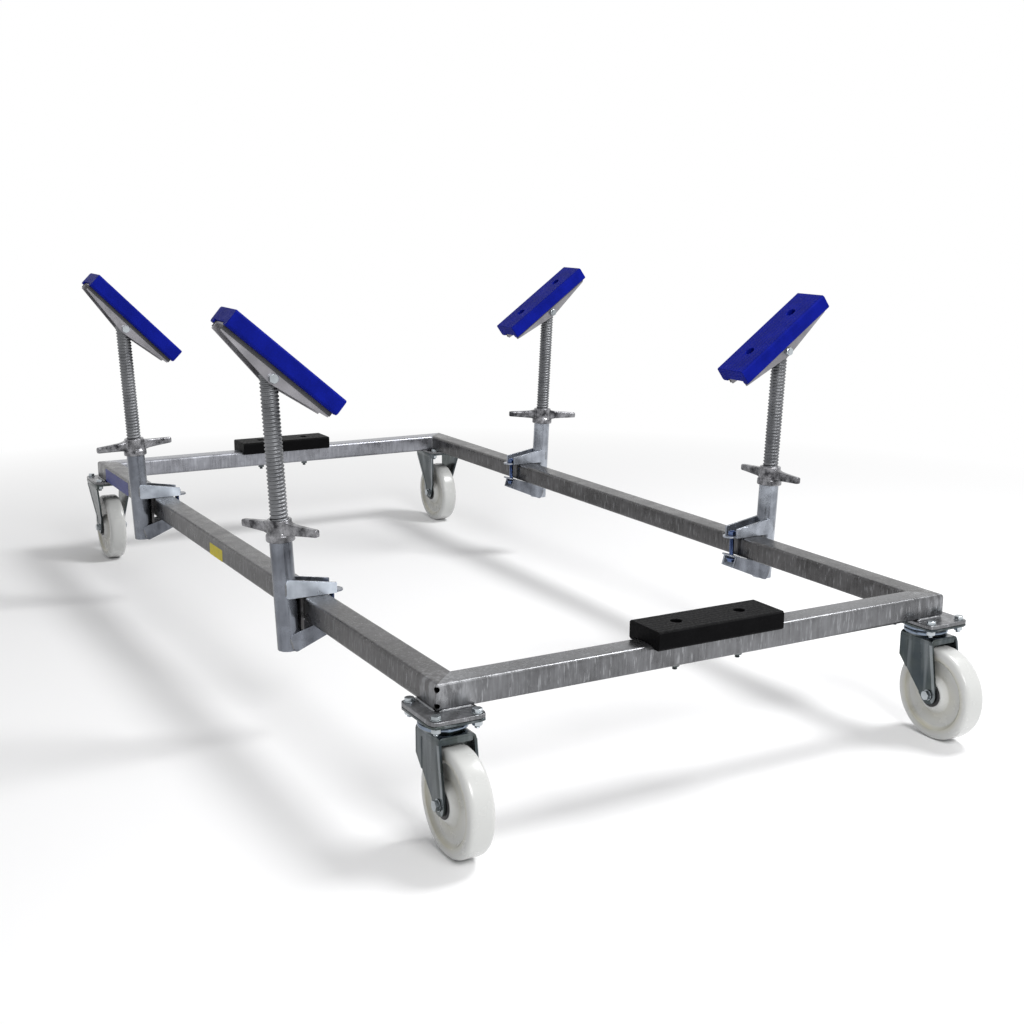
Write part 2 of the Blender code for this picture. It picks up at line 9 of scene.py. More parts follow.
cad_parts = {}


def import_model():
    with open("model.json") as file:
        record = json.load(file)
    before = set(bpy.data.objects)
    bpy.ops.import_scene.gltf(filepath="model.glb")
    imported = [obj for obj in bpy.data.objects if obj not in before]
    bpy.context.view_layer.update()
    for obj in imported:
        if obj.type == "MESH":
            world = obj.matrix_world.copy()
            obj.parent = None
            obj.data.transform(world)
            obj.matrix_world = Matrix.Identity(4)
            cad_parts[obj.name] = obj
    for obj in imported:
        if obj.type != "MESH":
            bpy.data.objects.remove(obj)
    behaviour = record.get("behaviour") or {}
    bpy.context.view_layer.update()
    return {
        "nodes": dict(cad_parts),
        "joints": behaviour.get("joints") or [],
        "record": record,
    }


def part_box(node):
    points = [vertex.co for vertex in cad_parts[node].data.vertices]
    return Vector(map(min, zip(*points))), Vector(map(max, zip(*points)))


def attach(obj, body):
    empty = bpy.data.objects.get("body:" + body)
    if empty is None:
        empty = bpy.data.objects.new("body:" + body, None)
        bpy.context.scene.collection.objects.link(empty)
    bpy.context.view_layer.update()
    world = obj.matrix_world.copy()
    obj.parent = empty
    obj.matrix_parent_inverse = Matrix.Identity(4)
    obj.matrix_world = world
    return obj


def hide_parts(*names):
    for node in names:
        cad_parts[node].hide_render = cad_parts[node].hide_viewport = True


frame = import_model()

places = ["front_right", "front_left", "rear_right", "rear_left"]
joints = {joint["name"]: joint for joint in frame["joints"]}
mounts = {mount["name"]: mount for mount in frame["record"]["mounts"]}
print("frame loaded:", len(frame["nodes"]), "nodes")


# mesh tools: every surface is (points, faces) as numpy arrays


def gridFaces(rows, columns, wrapColumns=True, wrapRows=False):
    # quads between neighbouring points of a grid, joined round where it wraps
    across = np.arange(columns if wrapColumns else columns - 1)
    down = np.arange(rows if wrapRows else rows - 1)
    row, column = np.meshgrid(down, across, indexing="ij")
    nextRow, nextColumn = (row + 1) % rows, (column + 1) % columns
    return np.stack([row * columns + column, row * columns + nextColumn,
                     nextRow * columns + nextColumn, nextRow * columns + column],
                    axis=-1).reshape(-1, 4)


def placed(points, matrix):
    turn = np.array(matrix.to_3x3())
    return points @ turn.T + np.array(matrix.translation)


def turnedSurface(profile, steps, matrix=Matrix.Identity(4), closed=False):
    # point(angle, i) = (radius i * cos angle, radius i * sin angle, height i)
    radius, height = np.array(profile, float).T
    angle = np.arange(steps) * 2 * pi / steps
    points = np.stack([np.outer(radius, np.cos(angle)), np.outer(radius, np.sin(angle)),
                       np.repeat(height[:, None], steps, axis=1)], axis=-1)
    return placed(points.reshape(-1, 3), matrix), gridFaces(len(radius), steps, True, closed)


def loftedSurface(rings, matrix=Matrix.Identity(4)):
    # straight lines between rings of equal counts; each end closes on its middle
    rings = np.array(rings, float)
    ends = [np.repeat(rings[i].mean(axis=0)[None, None], rings.shape[1], axis=1) for i in (0, -1)]
    rings = np.concatenate([ends[0], rings, ends[1]])
    return (placed(rings.reshape(-1, 3), matrix),
            gridFaces(rings.shape[0], rings.shape[1]))


def tubeSurface(path, radius, steps=10):
    # circle of a radius that may change, carried along a path square to its direction
    path = np.array(path, float)
    radius = np.broadcast_to(np.asarray(radius, float), len(path))
    along = np.gradient(path, axis=0)
    along /= np.linalg.norm(along, axis=1, keepdims=True)
    guide = np.where(np.abs(along[:, 2:3]) > 0.9, [[1.0, 0, 0]], [[0, 0, 1.0]])
    side = np.cross(along, guide)
    side /= np.linalg.norm(side, axis=1, keepdims=True)
    other = np.cross(side, along)
    angle = np.arange(steps) * 2 * pi / steps
    rings = (path[:, None] + radius[:, None, None]
             * (np.cos(angle)[None, :, None] * side[:, None]
                + np.sin(angle)[None, :, None] * other[:, None]))
    return loftedSurface(rings)


def hexSurface(flats, height, matrix=Matrix.Identity(4), steps=48):
    # radius(angle) of a hexagon, its corners cut by a 30 degree chamfer at both ends
    angle = (np.arange(steps) + 0.5) * 2 * pi / steps
    corner = flats / 2 / np.cos((angle + pi / 6) % (pi / 3) - pi / 6)
    waist = np.minimum(corner, flats * 0.485)
    drop = (corner - waist) * tan(pi / 6)
    rings = [(waist, 0 * drop), (corner, drop), (corner, height - drop),
             (waist, height + 0 * drop)]
    points = [np.stack([radius * np.cos(angle), radius * np.sin(angle), level], axis=-1)
              for radius, level in rings]
    return loftedSurface(points, matrix)


def roundedOutline(corners, radius, steps=4):
    # every corner of a closed outline becomes a curve that is tangent to both sides:
    # point(t) = (1 - t)^2 * start + 2 t (1 - t) * corner + t^2 * end
    corners = np.array(corners, float)
    radius = np.broadcast_to(np.asarray(radius, float), len(corners))
    before = np.roll(corners, 1, axis=0) - corners
    after = np.roll(corners, -1, axis=0) - corners
    before /= np.linalg.norm(before, axis=1, keepdims=True)
    after /= np.linalg.norm(after, axis=1, keepdims=True)
    half = np.arccos(np.clip((before * after).sum(axis=1), -1, 1)) / 2
    reach = (radius / np.tan(half))[:, None]
    share = np.linspace(0, 1, steps + 1)[None, :, None]
    start, end = (corners + before * reach)[:, None], (corners + after * reach)[:, None]
    points = ((1 - share) ** 2 * start + 2 * share * (1 - share) * corners[:, None]
              + share ** 2 * end)
    return points.reshape(-1, 2)


def boxOutline(width, height, radius, steps=6):
    a, b = width / 2, height / 2
    return roundedOutline([(a, b), (-a, b), (-a, -b), (a, -b)], radius, steps)


def joinSurfaces(surfaces):
    offsets = np.cumsum([0] + [len(points) for points, faces in surfaces[:-1]])
    return (np.concatenate([points for points, faces in surfaces]),
            np.concatenate([faces + offset for (points, faces), offset
                            in zip(surfaces, offsets)]))


def linkObject(name, data):
    made = bpy.data.objects.new(name, data)
    bpy.context.scene.collection.objects.link(made)
    return made


def readArray(items, field, width=1, kind=float):
    # one field of a mesh's items, as rows of the given width
    values = np.zeros(len(items) * width, kind)
    items.foreach_get(field, values)
    return values if width == 1 else values.reshape(-1, width)


meshValues = {"joinMade": 2e-6, "flat": 1e-7, "joinCopied": 2e-5, "coplanar": radians(1),
              "bevelAngle": radians(32)}


def startShape(name, points, faces, near):
    # a mesh and its bmesh, in which points that lie nearer than this are joined
    mesh = bpy.data.meshes.new(name)
    mesh.from_pydata(points.tolist(), [], faces)
    shape = bmesh.new()
    shape.from_mesh(mesh)
    bmesh.ops.remove_doubles(shape, verts=shape.verts, dist=near)
    return mesh, shape


def endShape(name, mesh, shape):
    shape.to_mesh(mesh)
    shape.free()
    return linkObject(name, mesh)


def meshObject(name, surfaces, extraFaces=()):
    # one mesh of all the surfaces, poles closed and faces turned outwards
    points, faces = joinSurfaces(surfaces)
    faces = faces.tolist() + [list(face) for face in extraFaces]
    mesh, shape = startShape(name, points, faces, meshValues["joinMade"])
    bmesh.ops.dissolve_degenerate(shape, edges=shape.edges, dist=meshValues["flat"])
    bmesh.ops.recalc_face_normals(shape, faces=shape.faces)
    return endShape(name, mesh, shape)


def cutWith(piece, surfaces):
    # takes the closed surfaces away from the piece
    tool = meshObject("cutter", surfaces)
    change = piece.modifiers.new("cut", "BOOLEAN")
    change.operation, change.solver, change.object = "DIFFERENCE", "EXACT", tool
    bpy.context.view_layer.update()
    result = piece.evaluated_get(bpy.context.evaluated_depsgraph_get())
    mesh = bpy.data.meshes.new_from_object(result)
    piece.modifiers.clear()
    piece.data = mesh
    bpy.data.objects.remove(tool)


def softenEdges(piece, width, steps=2):
    change = piece.modifiers.new("rounded edges", "BEVEL")
    change.width, change.segments = width, steps
    change.limit_method, change.angle_limit = "ANGLE", meshValues["bevelAngle"]
    change.harden_normals = True
    change.use_clamp_overlap = True


def finishPiece(piece, look, body, replaces=(), sharp=None):
    # look names one of the finished looks; sharp is the angle over which edges stay hard
    piece.data.materials.clear()
    piece.data.materials.append(looks[look])
    piece.data.shade_smooth()
    if sharp:
        piece.data.set_sharp_from_angle(angle=radians(sharp))
    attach(piece, body)
    if replaces:
        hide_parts(*replaces)


def addPiece(name, surfaces, look, body, replaces=(), sharp=None, soften=None):
    piece = meshObject(name, surfaces)
    if soften:
        softenEdges(piece, soften)
    finishPiece(piece, look, body, replaces, sharp)


def nodeCopy(node, name, look, body, width):
    # a CAD node's solid, merged and with its edges rounded
    source = frame["nodes"][node].data
    corners = readArray(source.loops, "vertex_index", kind=int)
    mesh, shape = startShape(name, readArray(source.vertices, "co", 3),
                             corners.reshape(-1, 3).tolist(), meshValues["joinCopied"])
    bmesh.ops.dissolve_limit(shape, angle_limit=meshValues["coplanar"], verts=shape.verts,
                             edges=shape.edges)
    piece = endShape(name, mesh, shape)
    softenEdges(piece, width)
    finishPiece(piece, look, body, (node,))


def setUv(piece, matrix):
    # the piece's own flat coordinates, in metres, as its UV map
    mesh = piece.data
    local = placed(readArray(mesh.vertices, "co", 3), matrix.inverted())
    corners = readArray(mesh.loops, "vertex_index", kind=int)
    # faces that are not level get one value across, so that no groove shows on them
    normals = readArray(mesh.polygons, "normal", 3)
    counts = readArray(mesh.polygons, "loop_total", kind=int)
    up = np.array(matrix.to_3x3().col[2])
    level = np.repeat(np.abs(normals @ up) > 0.9, counts)
    flat = local[corners][:, :2] * np.column_stack([level, np.ones(len(level))])
    layer = mesh.uv_layers.new(name="flat")
    layer.data.foreach_set("uv", flat.ravel())


def axisMatrix(origin, up, sideways=(1, 0, 0)):
    # Z along up, X as near to sideways as it can be
    z = Vector(up).normalized()
    x = Vector(sideways) - Vector(sideways).dot(z) * z
    x.normalize()
    y = z.cross(x)
    return Matrix.Translation(Vector(origin)) @ Matrix((x, y, z)).transposed().to_4x4()


def moveAlong(matrix, *offset):
    return matrix @ Matrix.Translation(Vector(offset))


# shader maths

class Wire:
    # an output socket; arithmetic on it adds Math nodes
    def __init__(self, graph, socket):
        self.graph, self.socket = graph, socket

    def maths(self, operation, other):
        return self.graph.node("ShaderNodeMath", {"operation": operation}, {0: self, 1: other})

    def __add__(self, other): return self.maths("ADD", other)
    def __sub__(self, other): return self.maths("SUBTRACT", other)
    def __mul__(self, other): return self.maths("MULTIPLY", other)


class Graph:
    # a node tree, and a short call that adds a node to it
    def __init__(self, tree):
        self.tree = tree

    def feed(self, socket, value):
        if isinstance(value, Wire):
            self.tree.links.new(value.socket, socket)
        else:
            socket.default_value = value

    def node(self, kind, settings=None, values=None, output=0):
        made = self.tree.nodes.new(kind)
        for name, value in (settings or {}).items():
            setattr(made, name, value)
        for name, value in (values or {}).items():
            self.feed(made.inputs[name], value)
        return Wire(self, made.outputs[output])


class Look(Graph):
    # a Principled material, and short calls for what its finishes are made of
    def __init__(self, name, colour, roughness, metallic=0.0):
        self.material = bpy.data.materials.new(name)
        self.material.use_nodes = True
        self.material.diffuse_color = (*colour, 1)
        super().__init__(self.material.node_tree)
        self.shader = self.tree.nodes["Principled BSDF"]
        self.set("Base Color", (*colour, 1))
        self.set("Roughness", roughness)
        self.set("Metallic", metallic)

    def set(self, name, value):
        self.feed(self.shader.inputs[name], value)

    def noise(self, scale, stretch=(1, 1, 1), detail=4, rough=0.5):
        # noise over the object's own coordinates, stretched
        spot = self.node("ShaderNodeTexCoord", output="Object")
        place = self.node("ShaderNodeMapping", {}, {"Vector": spot, "Scale": stretch})
        return self.node("ShaderNodeTexNoise", {},
                         {"Vector": place, "Scale": scale, "Detail": detail, "Roughness": rough})

    def span(self, value, low, high, fromLow=0.35, fromHigh=0.65):
        return self.node("ShaderNodeMapRange", {"clamp": True},
                         {"Value": value, "From Min": fromLow, "From Max": fromHigh,
                          "To Min": low, "To Max": high})

    def blend(self, share, first, second):
        return self.node("ShaderNodeMix", {"data_type": "RGBA"},
                         {0: share, 6: first, 7: second}, output=2)

    def bump(self, height, distance, strength=1.0):
        made = self.node("ShaderNodeBump", {}, {"Height": height, "Distance": distance,
                                                "Strength": strength})
        self.set("Normal", made)


def shade(colour, factor=1.0):
    return (*[channel * factor for channel in colour], 1)

endFinish = {"rough": (0.22, 0.40), "streaks": (180, 180, 16), "streakShare": 0.45, "metal": 0.92,
             "grain": 0.00005, "runs": 0.6}
postFinish = {"rough": (0.15, 0.34), "streaks": (38, 38, 5), "metal": 0.8, "grain": 0.00014}
galvanisedValues = {
    # the side rails, the front and rear rails, the right and left clamp tubes and the upper arms
    # get lighter or darker copies of one galvanised finish, as painted light and shade
    "rails": {"dark": (0.027, 0.026, 0.026), "light": (0.13, 0.128, 0.131), "rough": (0.22, 0.40),
              "streaks": (110, 110, 14), "streakShare": 0.4, "metal": 0.92, "grain": 0.00009,
              "runs": 0.5, "flecks": 0.25},
    "ends": {**endFinish, "dark": (0.075, 0.075, 0.078), "light": (0.235, 0.239, 0.25),
             "flecks": 0.35},
    "paintedLightRearEnd": {**endFinish, "dark": (0.13, 0.132, 0.145), "light": (0.40, 0.41, 0.45),
                "flecks": 0.25},
    "posts": {**postFinish, "dark": (0.024, 0.026, 0.033), "light": (0.30, 0.322, 0.368),
              "streakShare": 0.6},
    "paintedLightPosts": {**postFinish, "dark": (0.10, 0.108, 0.125), "light": (0.56, 0.60, 0.67),
                  "streakShare": 0.45},
    "paintedLightArms": {"dark": (0.33, 0.37, 0.435), "light": (0.78, 0.84, 0.92), "rough": (0.26, 0.42),
             "streaks": (50, 50, 30), "streakShare": 0.25, "metal": 0.75, "grain": 0.00014},
    "screws": {"dark": (0.080, 0.083, 0.089), "light": (0.225, 0.23, 0.24), "rough": (0.34, 0.5),
               "streaks": (80, 80, 80), "streakShare": 0.3, "metal": 0.92, "grain": 0.0001},
    "heads": {"dark": (0.19, 0.187, 0.20), "light": (0.34, 0.332, 0.353), "rough": (0.32, 0.48),
              "streaks": (60, 60, 20), "streakShare": 0.2, "metal": 0.8, "grain": 0.0001},
    # dark flange finish: painted shadow of the pad's overhang
    "paintedShadowFlanges": {"dark": (0.04, 0.04, 0.043), "light": (0.09, 0.09, 0.095), "rough": (0.4, 0.55),
                 "streaks": (60, 60, 20), "streakShare": 0.2, "metal": 0.6, "grain": 0.0001},
}
zincScales = {"clouds": 9, "patches": 34, "fine": 420, "flecks": (240, 240, 34),
              "runs": (70, 70, 26), "patchShare": 0.25}
runValues = {"corner": (1.178, 0.582, 0.264), "middle": (-0.03125, 0, 0), "from": 0.02,
             "to": 0.085, "colour": (0.50, 0.51, 0.53)}


def galvanised(kind):
    # cloudy zinc: wide clouds, drip streaks that run down, fine grain, bright runs at the welds
    values, scales = galvanisedValues[kind], zincScales
    look = Look("galvanised " + kind, values["light"], 0.4, values["metal"])
    clouds = look.noise(scales["clouds"], detail=5, rough=0.6)
    drips = look.noise(1, values["streaks"], detail=3, rough=0.55)
    patches = look.noise(scales["patches"], detail=3)
    tone = (look.span(clouds, 0, 1) * (1 - values["streakShare"])
            + look.span(drips, 0, 1, 0.3, 0.7) * values["streakShare"])
    tone = (tone * (1 - scales["patchShare"])
            + look.span(patches, 0, 1, 0.3, 0.7) * scales["patchShare"])
    colour = look.blend(tone, shade(values["dark"]), shade(values["light"]))
    bright = shade(runValues["colour"])
    flecks = look.noise(1, scales["flecks"], detail=2)
    colour = look.blend(look.span(flecks, 0, values.get("flecks", 0.0), 0.58, 0.70), colour, bright)
    if "runs" in values:
        # distance from the nearest frame corner: |place - frame middle| to one corner
        place = look.node("ShaderNodeTexCoord", output="Object")
        for operation, other in (("SUBTRACT", {1: runValues["middle"]}), ("ABSOLUTE", {})):
            place = look.node("ShaderNodeVectorMath", {"operation": operation},
                              {0: place, **other})
        far = look.node("ShaderNodeVectorMath", {"operation": "DISTANCE"},
                        {0: place, 1: runValues["corner"]}, output=1)
        near = look.span(far, values["runs"], 0, runValues["from"], runValues["to"])
        runs = look.noise(1, scales["runs"], detail=4, rough=0.6)
        colour = look.blend(near * look.span(runs, 0, 1, 0.44, 0.66), colour, bright)
    look.set("Base Color", colour)
    low, high = values["rough"]
    look.set("Roughness", look.span(patches * 0.5 + clouds * 0.5, low, high, 0.38, 0.62))
    fine = look.noise(scales["fine"], detail=3)
    look.bump(fine * 0.35 + drips * 0.9 + patches * 0.8, values["grain"] * 4, 0.55)
    return look.material


platedValues = {"blue": (0.030, 0.040, 0.046), "green": (0.050, 0.060, 0.056),
                "sheen": (0.17, 0.185, 0.195), "bright": (0.55, 0.59, 0.62), "rough": (0.18, 0.28),
                "bands": (40, 40, 5), "bandShare": 0.7, "tint": 15, "wash": 8, "cloud": 45,
                "grain": 120, "grainDepth": 0.00006}


def platedZinc(name, bright=0.3):
    # bright plating with soft blue and green tints and long pale bands
    v = platedValues
    look = Look(name, v["blue"], 0.28, 1.0)
    tint = look.span(look.noise(v["tint"], detail=2), 0, 1)
    bands = look.span(look.noise(1, v["bands"], detail=2), 0, v["bandShare"], 0.50, 0.70)
    wash = look.span(look.noise(v["wash"], (1, 1, 2), detail=2), 0, 1)
    colour = look.blend(tint, shade(v["blue"]), shade(v["green"]))
    colour = look.blend(bands, colour, shade(v["sheen"]))
    look.set("Base Color", look.blend(wash * bright * 0.6 + bright * 0.7, colour,
                                      shade(v["bright"])))
    look.set("Roughness", look.span(look.noise(v["cloud"], detail=2), *v["rough"], 0.3, 0.7))
    look.bump(look.noise(v["grain"], detail=2), v["grainDepth"], 0.3)
    return look.material


castValues = {"dark": (0.034, 0.034, 0.038), "light": (0.30, 0.30, 0.315), "rough": (0.16, 0.36),
              "lumps": 45, "grains": 260, "lumpDepth": 0.0011}


def castZinc():
    # galvanised casting: lumpy, dark in patches, brighter where it is worn
    v = castValues
    look = Look("galvanised casting", v["light"], 0.48, 0.85)
    lumps = look.noise(v["lumps"], detail=5, rough=0.6)
    grains = look.noise(v["grains"], detail=3)
    look.set("Base Color", look.blend(look.span(lumps * 0.85 + grains * 0.15, 0, 1, 0.38, 0.62),
                                      shade(v["dark"]), shade(v["light"])))
    look.set("Roughness", look.span(grains, *v["rough"]))
    look.bump(lumps * 1.0 + grains * 0.2, v["lumpDepth"], 0.55)
    return look.material


nylonValues = {"white": (0.55, 0.556, 0.545), "creaseTone": (0.42, 0.40, 0.30), "rough": (0.24, 0.33),
               "scuffed": 0.93, "clouds": 16, "scuffs": 38, "grain": 60, "grainDepth": 0.0001}


def nylonWheel():
    # off-white nylon, darker and yellower in the corner inside the rim and at the boss's foot, with
    # faint scuffs
    v = nylonValues
    look = Look("off-white nylon", v["white"], 0.32)
    creaseTone = look.node("ShaderNodeAttribute", {"attribute_name": "creaseTone"}, output=2)
    cloud = look.span(look.noise(v["clouds"], detail=3), 0.6, 1.0)
    scuffs = look.span(look.noise(v["scuffs"], detail=3), 0, 1, 0.5, 0.75)
    white = look.blend(scuffs * 0.35, shade(v["white"]), shade(v["white"], v["scuffed"]))
    look.set("Base Color", look.blend(creaseTone * cloud, white, shade(v["creaseTone"])))
    look.set("Roughness", look.span(scuffs, *v["rough"], 0, 1))
    look.bump(look.noise(v["grain"], detail=2), v["grainDepth"], 0.15)
    return look.material


padValues = {"lines": 0.0118, "lineDepth": 0.0012, "specular": 0.04, "clouds": 24, "dust": 210,
             "deepened": 0.85}


def mouldedPad(name, deep, fresh, rough):
    # moulded block: fine grooves that run along its length, darkened in colour as painted shade in
    # them, slight clouding
    v = padValues
    look = Look(name, fresh, rough[0])
    spot = look.node("ShaderNodeUVMap", {"uv_map": "flat"})
    across = look.node("ShaderNodeSeparateXYZ", {}, {0: spot})
    look.set("Specular IOR Level", v["specular"])
    wave = look.node("ShaderNodeMath", {"operation": "SINE"}, {0: across * (2 * pi / v["lines"])})
    groove = look.span(wave, 0, 1, 0.62, 0.95)
    cloud = look.span(look.noise(v["clouds"], detail=4), 0, 1)
    dust = look.span(look.noise(v["dust"], detail=3), 0, 1)
    # the grooves darken the colour: painted shade in them
    look.set("Base Color", look.blend(cloud * 0.45 + dust * 0.2 + groove * 0.5, shade(fresh),
                                      shade(deep, v["deepened"])))
    look.set("Roughness", look.span(dust, *rough, 0, 1))
    look.bump(dust * 0.1 - groove * 0.7, v["lineDepth"], 0.6)
    return look.material


def plain(name, colour, rough, metallic=0.0, grain=0.00008, scale=300):
    # even finish with a fine grain and a slight change of tone
    look = Look(name, colour, rough, metallic)
    grains = look.noise(scale, detail=3)
    tone = look.span(look.noise(30, detail=3), 0, 1)
    look.set("Base Color", look.blend(tone, shade(colour, 0.88), shade(colour, 1.08)))
    look.set("Roughness", look.span(grains, rough * 0.85, rough * 1.15))
    look.bump(grains, grain, 0.5)
    return look.material

# the left clamps and the rear rail are paler and the right upper arms brighter than their
# fellows, to match the photo's shading; the real parts are likely of one finish
looks = {kind: galvanised(kind) for kind in galvanisedValues}
looks.update({
    "plated": platedZinc("zinc plate", 0.04),
    "bright": platedZinc("bright zinc", 0.7),
    "cast": castZinc(),
    "nylon": nylonWheel(),
    "pad": mouldedPad("blue moulded pad", (0.002, 0.006, 0.145), (0.004, 0.010, 0.245),
                      (0.42, 0.55)),
    "block": mouldedPad("black moulded block", (0.001, 0.001, 0.0012), (0.0035, 0.0035, 0.004),
                        (0.42, 0.6)),
    "blued": platedZinc("blue zinc", 0.1),
    # a paler copy of the plating for the leg ribs: painted sheen
    "paintedSheen": platedZinc("pale zinc", 0.3),
    "blueBolt": plain("blue zinc bolt", (0.10, 0.14, 0.26), 0.2, 1.0, 0.00003),
    "ring": plain("blue zinc ring", (0.20, 0.24, 0.30), 0.10, 1.0, 0.00003),
    "seal": plain("black seal", (0.012, 0.012, 0.013), 0.45),
    "weld": plain("galvanised weld", (0.21, 0.215, 0.225), 0.38, 0.85, 0.0003, 400),
    "blueLabel": plain("blue label", (0.014, 0.022, 0.17), 0.5),
    "yellowLabel": plain("yellow label", (0.60, 0.50, 0.006), 0.55),
})
print("materials:", len(looks))


# rails: fine corners, hollow, with vent holes at the front right corner edge

railValues = {"length": 2.400, "width": 1.210, "across": 0.060, "high": 0.050, "wall": 0.004,
              "corner": 0.0085, "cornerSteps": 7, "gap": 0.0003, "gapShare": 0.7,
              "ventRadius": 0.0054, "ventInset": 0.0098, "ventOut": 0.006, "ventIn": 0.013,
              "ventEnds": {"rail_right": (1,), "rail_front": (-1,)}}
railLow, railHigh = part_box("rail_right")


def endSide(place):
    # +1 at the front and on the left, -1 at the rear and on the right
    return (1 if place.startswith("front") else -1), (1 if place.endswith("left") else -1)


def makeRails():
    v = railValues
    middle = Vector(((railLow.x + railHigh.x) / 2, 0, (railLow.z + railHigh.z) / 2))
    steps = {"rail_right": (v["length"], (0, -(v["width"] - v["across"]) / 2, 0), 0),
             "rail_front": (v["width"], ((v["length"] - v["across"]) / 2, 0, 0), pi / 2),
             "rail_left": (v["length"], (0, (v["width"] - v["across"]) / 2, 0), pi),
             "rail_rear": (v["width"], (-(v["length"] - v["across"]) / 2, 0, 0), -pi / 2)}
    outer = boxOutline(v["across"], v["high"], v["corner"], v["cornerSteps"])
    inner = boxOutline(v["across"] - 2 * v["wall"], v["high"] - 2 * v["wall"],
                       v["corner"] - v["wall"], v["cornerSteps"])
    bore = [(0, -v["ventOut"]), (v["ventRadius"], -v["ventOut"]), (v["ventRadius"], v["ventIn"]),
            (0, v["ventIn"])]
    for name, (length, offset, turn) in steps.items():
        matrix = Matrix.Translation(middle + Vector(offset)) @ Matrix.Rotation(turn, 4, "Z")
        rings = []
        for outline, end in ((outer, -1), (outer, 1), (inner, 1), (inner, -1)):
            along = end * (length / 2 - (outline[:, 0] + v["across"] / 2)
                           - v["gap"] * v["gapShare"])
            rings.append(np.column_stack([along, outline]))
        faces = gridFaces(4, len(outer), True, True)
        piece = meshObject(name + "_section",
                           [(placed(np.array(rings).reshape(-1, 3), matrix), faces)])
        vents = []
        for end in v["ventEnds"].get(name, ()):
            for up in (-1, 1):
                spot = (end * length / 2, -v["across"] / 2, up * (v["high"] / 2 - v["ventInset"]))
                vent = matrix @ axisMatrix(spot, (-end, 1, 0), (0, 0, 1))
                vents.append(turnedSurface(bore, 24, vent))
        if vents:
            cutWith(piece, vents)
        # the side rails take a darker, shaded copy and the rear rail a paler, lit copy of the front
        # rail's finish: painted shade and light
        look = {"rail_front": "ends", "rail_rear": "paintedLightRearEnd"}.get(name, "rails")
        finishPiece(piece, look, "frame", (name,), sharp=40)


makeRails()
print("rails made")


# welds at the frame's corners and round the corner plates

weldValues = {"ripple": 0.00035, "ripplePitch": 0.0062, "rippleShare": 0.35, "wanderShare": 1.2,
              "thinnest": 0.35, "waypoints": 12, "lift": 0.0008, "proud": 0.0005, "start": 0.006,
              "outer": 0.0036, "inner": 0.0028, "innerStart": 0.002, "innerEnd": 0.004,
              "edgeInset": 0.0022, "edge": 0.0022, "edgeEnd": 0.0155, "cornerOut": 0.0002,
              "corner": 0.0026, "cornerEnd": 0.005}


def bead(start, end, radius, seed):
    # a tube along a straight line whose radius ripples and wanders slightly
    w = weldValues
    start, end = np.array(start, float), np.array(end, float)
    length = np.linalg.norm(end - start)
    count = max(8, int(length / w["ripplePitch"] * 4))
    share = np.linspace(0, 1, count)
    chance = np.random.default_rng(seed)
    wander = np.interp(share, np.linspace(0, 1, w["waypoints"]),
                       chance.uniform(-1, 1, w["waypoints"]))
    ripple = np.sin(share * length / w["ripplePitch"] * 2 * pi)
    taper = np.clip(np.minimum(share, 1 - share) * 12, w["thinnest"], 1)
    size = (radius + w["ripple"] * (w["rippleShare"] * ripple + w["wanderShare"] * wander)) * taper
    path = start + share[:, None] * (end - start)
    return tubeSurface(path, size, 10)


def makeWelds():
    v, w = railValues, weldValues
    top, bottom = railHigh.z, railLow.z
    middleX = (railLow.x + railHigh.x) / 2
    for index, place in enumerate(places):
        end, side = endSide(place)
        x, y = middleX + end * v["length"] / 2, side * v["width"] / 2
        plateLow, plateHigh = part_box("corner_plate_" + place)
        level = plateHigh.z + w["lift"]
        insideX, insideY = x - end * v["across"], y - side * v["across"]
        plateX = plateLow.x if end > 0 else plateHigh.x
        plateY = plateLow.y if side > 0 else plateHigh.y
        faceX, faceY = x + end * w["proud"], y + side * w["proud"]
        edge = x - end * w["edgeInset"], y - side * w["edgeInset"]
        corner = insideX + end * w["cornerOut"], insideY + side * w["cornerOut"]
        runs = [((faceX, y - side * w["start"], level), (faceX, plateY + side * w["start"], level),
                 w["outer"]),
                ((x - end * w["start"], faceY, level), (plateX + end * w["start"], faceY, level),
                 w["outer"]),
                ((insideX - end * w["innerStart"], insideY, level),
                 (plateX + end * w["innerEnd"], insideY, level), w["inner"]),
                ((*edge, bottom + w["edgeEnd"]), (*edge, top - w["edgeEnd"]), w["edge"]),
                ((*corner, bottom + w["cornerEnd"]), (*corner, top - w["cornerEnd"]),
                 w["corner"])]
        surfaces = [bead(*run, index * 9 + number + 1) for number, run in enumerate(runs)]
        addPiece("weld_beads_" + place, surfaces, "weld", "frame")


makeWelds()


# bolts and nuts

boltValues = {
    "plate": {"flats": 0.017, "head": 0.0064, "nut": 0.008, "washer": 0.0105, "shank": 0.005,
              "tail": 0.005},
    "axle": {"flats": 0.0185, "head": 0.0075, "nut": 0.0082, "washer": 0.0115, "shank": 0.006,
             "tail": 0.0016},
    "tie": {"flats": 0.0185, "head": 0.0075, "nut": 0.010, "washer": 0.0118, "shank": 0.006,
            "tail": 0.0018},
    "block": {"flats": 0.017, "head": 0.006, "nut": 0.008, "washer": 0.0105, "shank": 0.005,
              "tail": 0.006},
}

fastenerValues = {"pitch": 0.00175, "rootShare": 0.88, "threadSteps": 20, "washer": 0.0016,
                  "washerEdge": 0.25, "washerSteps": 32, "intoHead": 0.3}


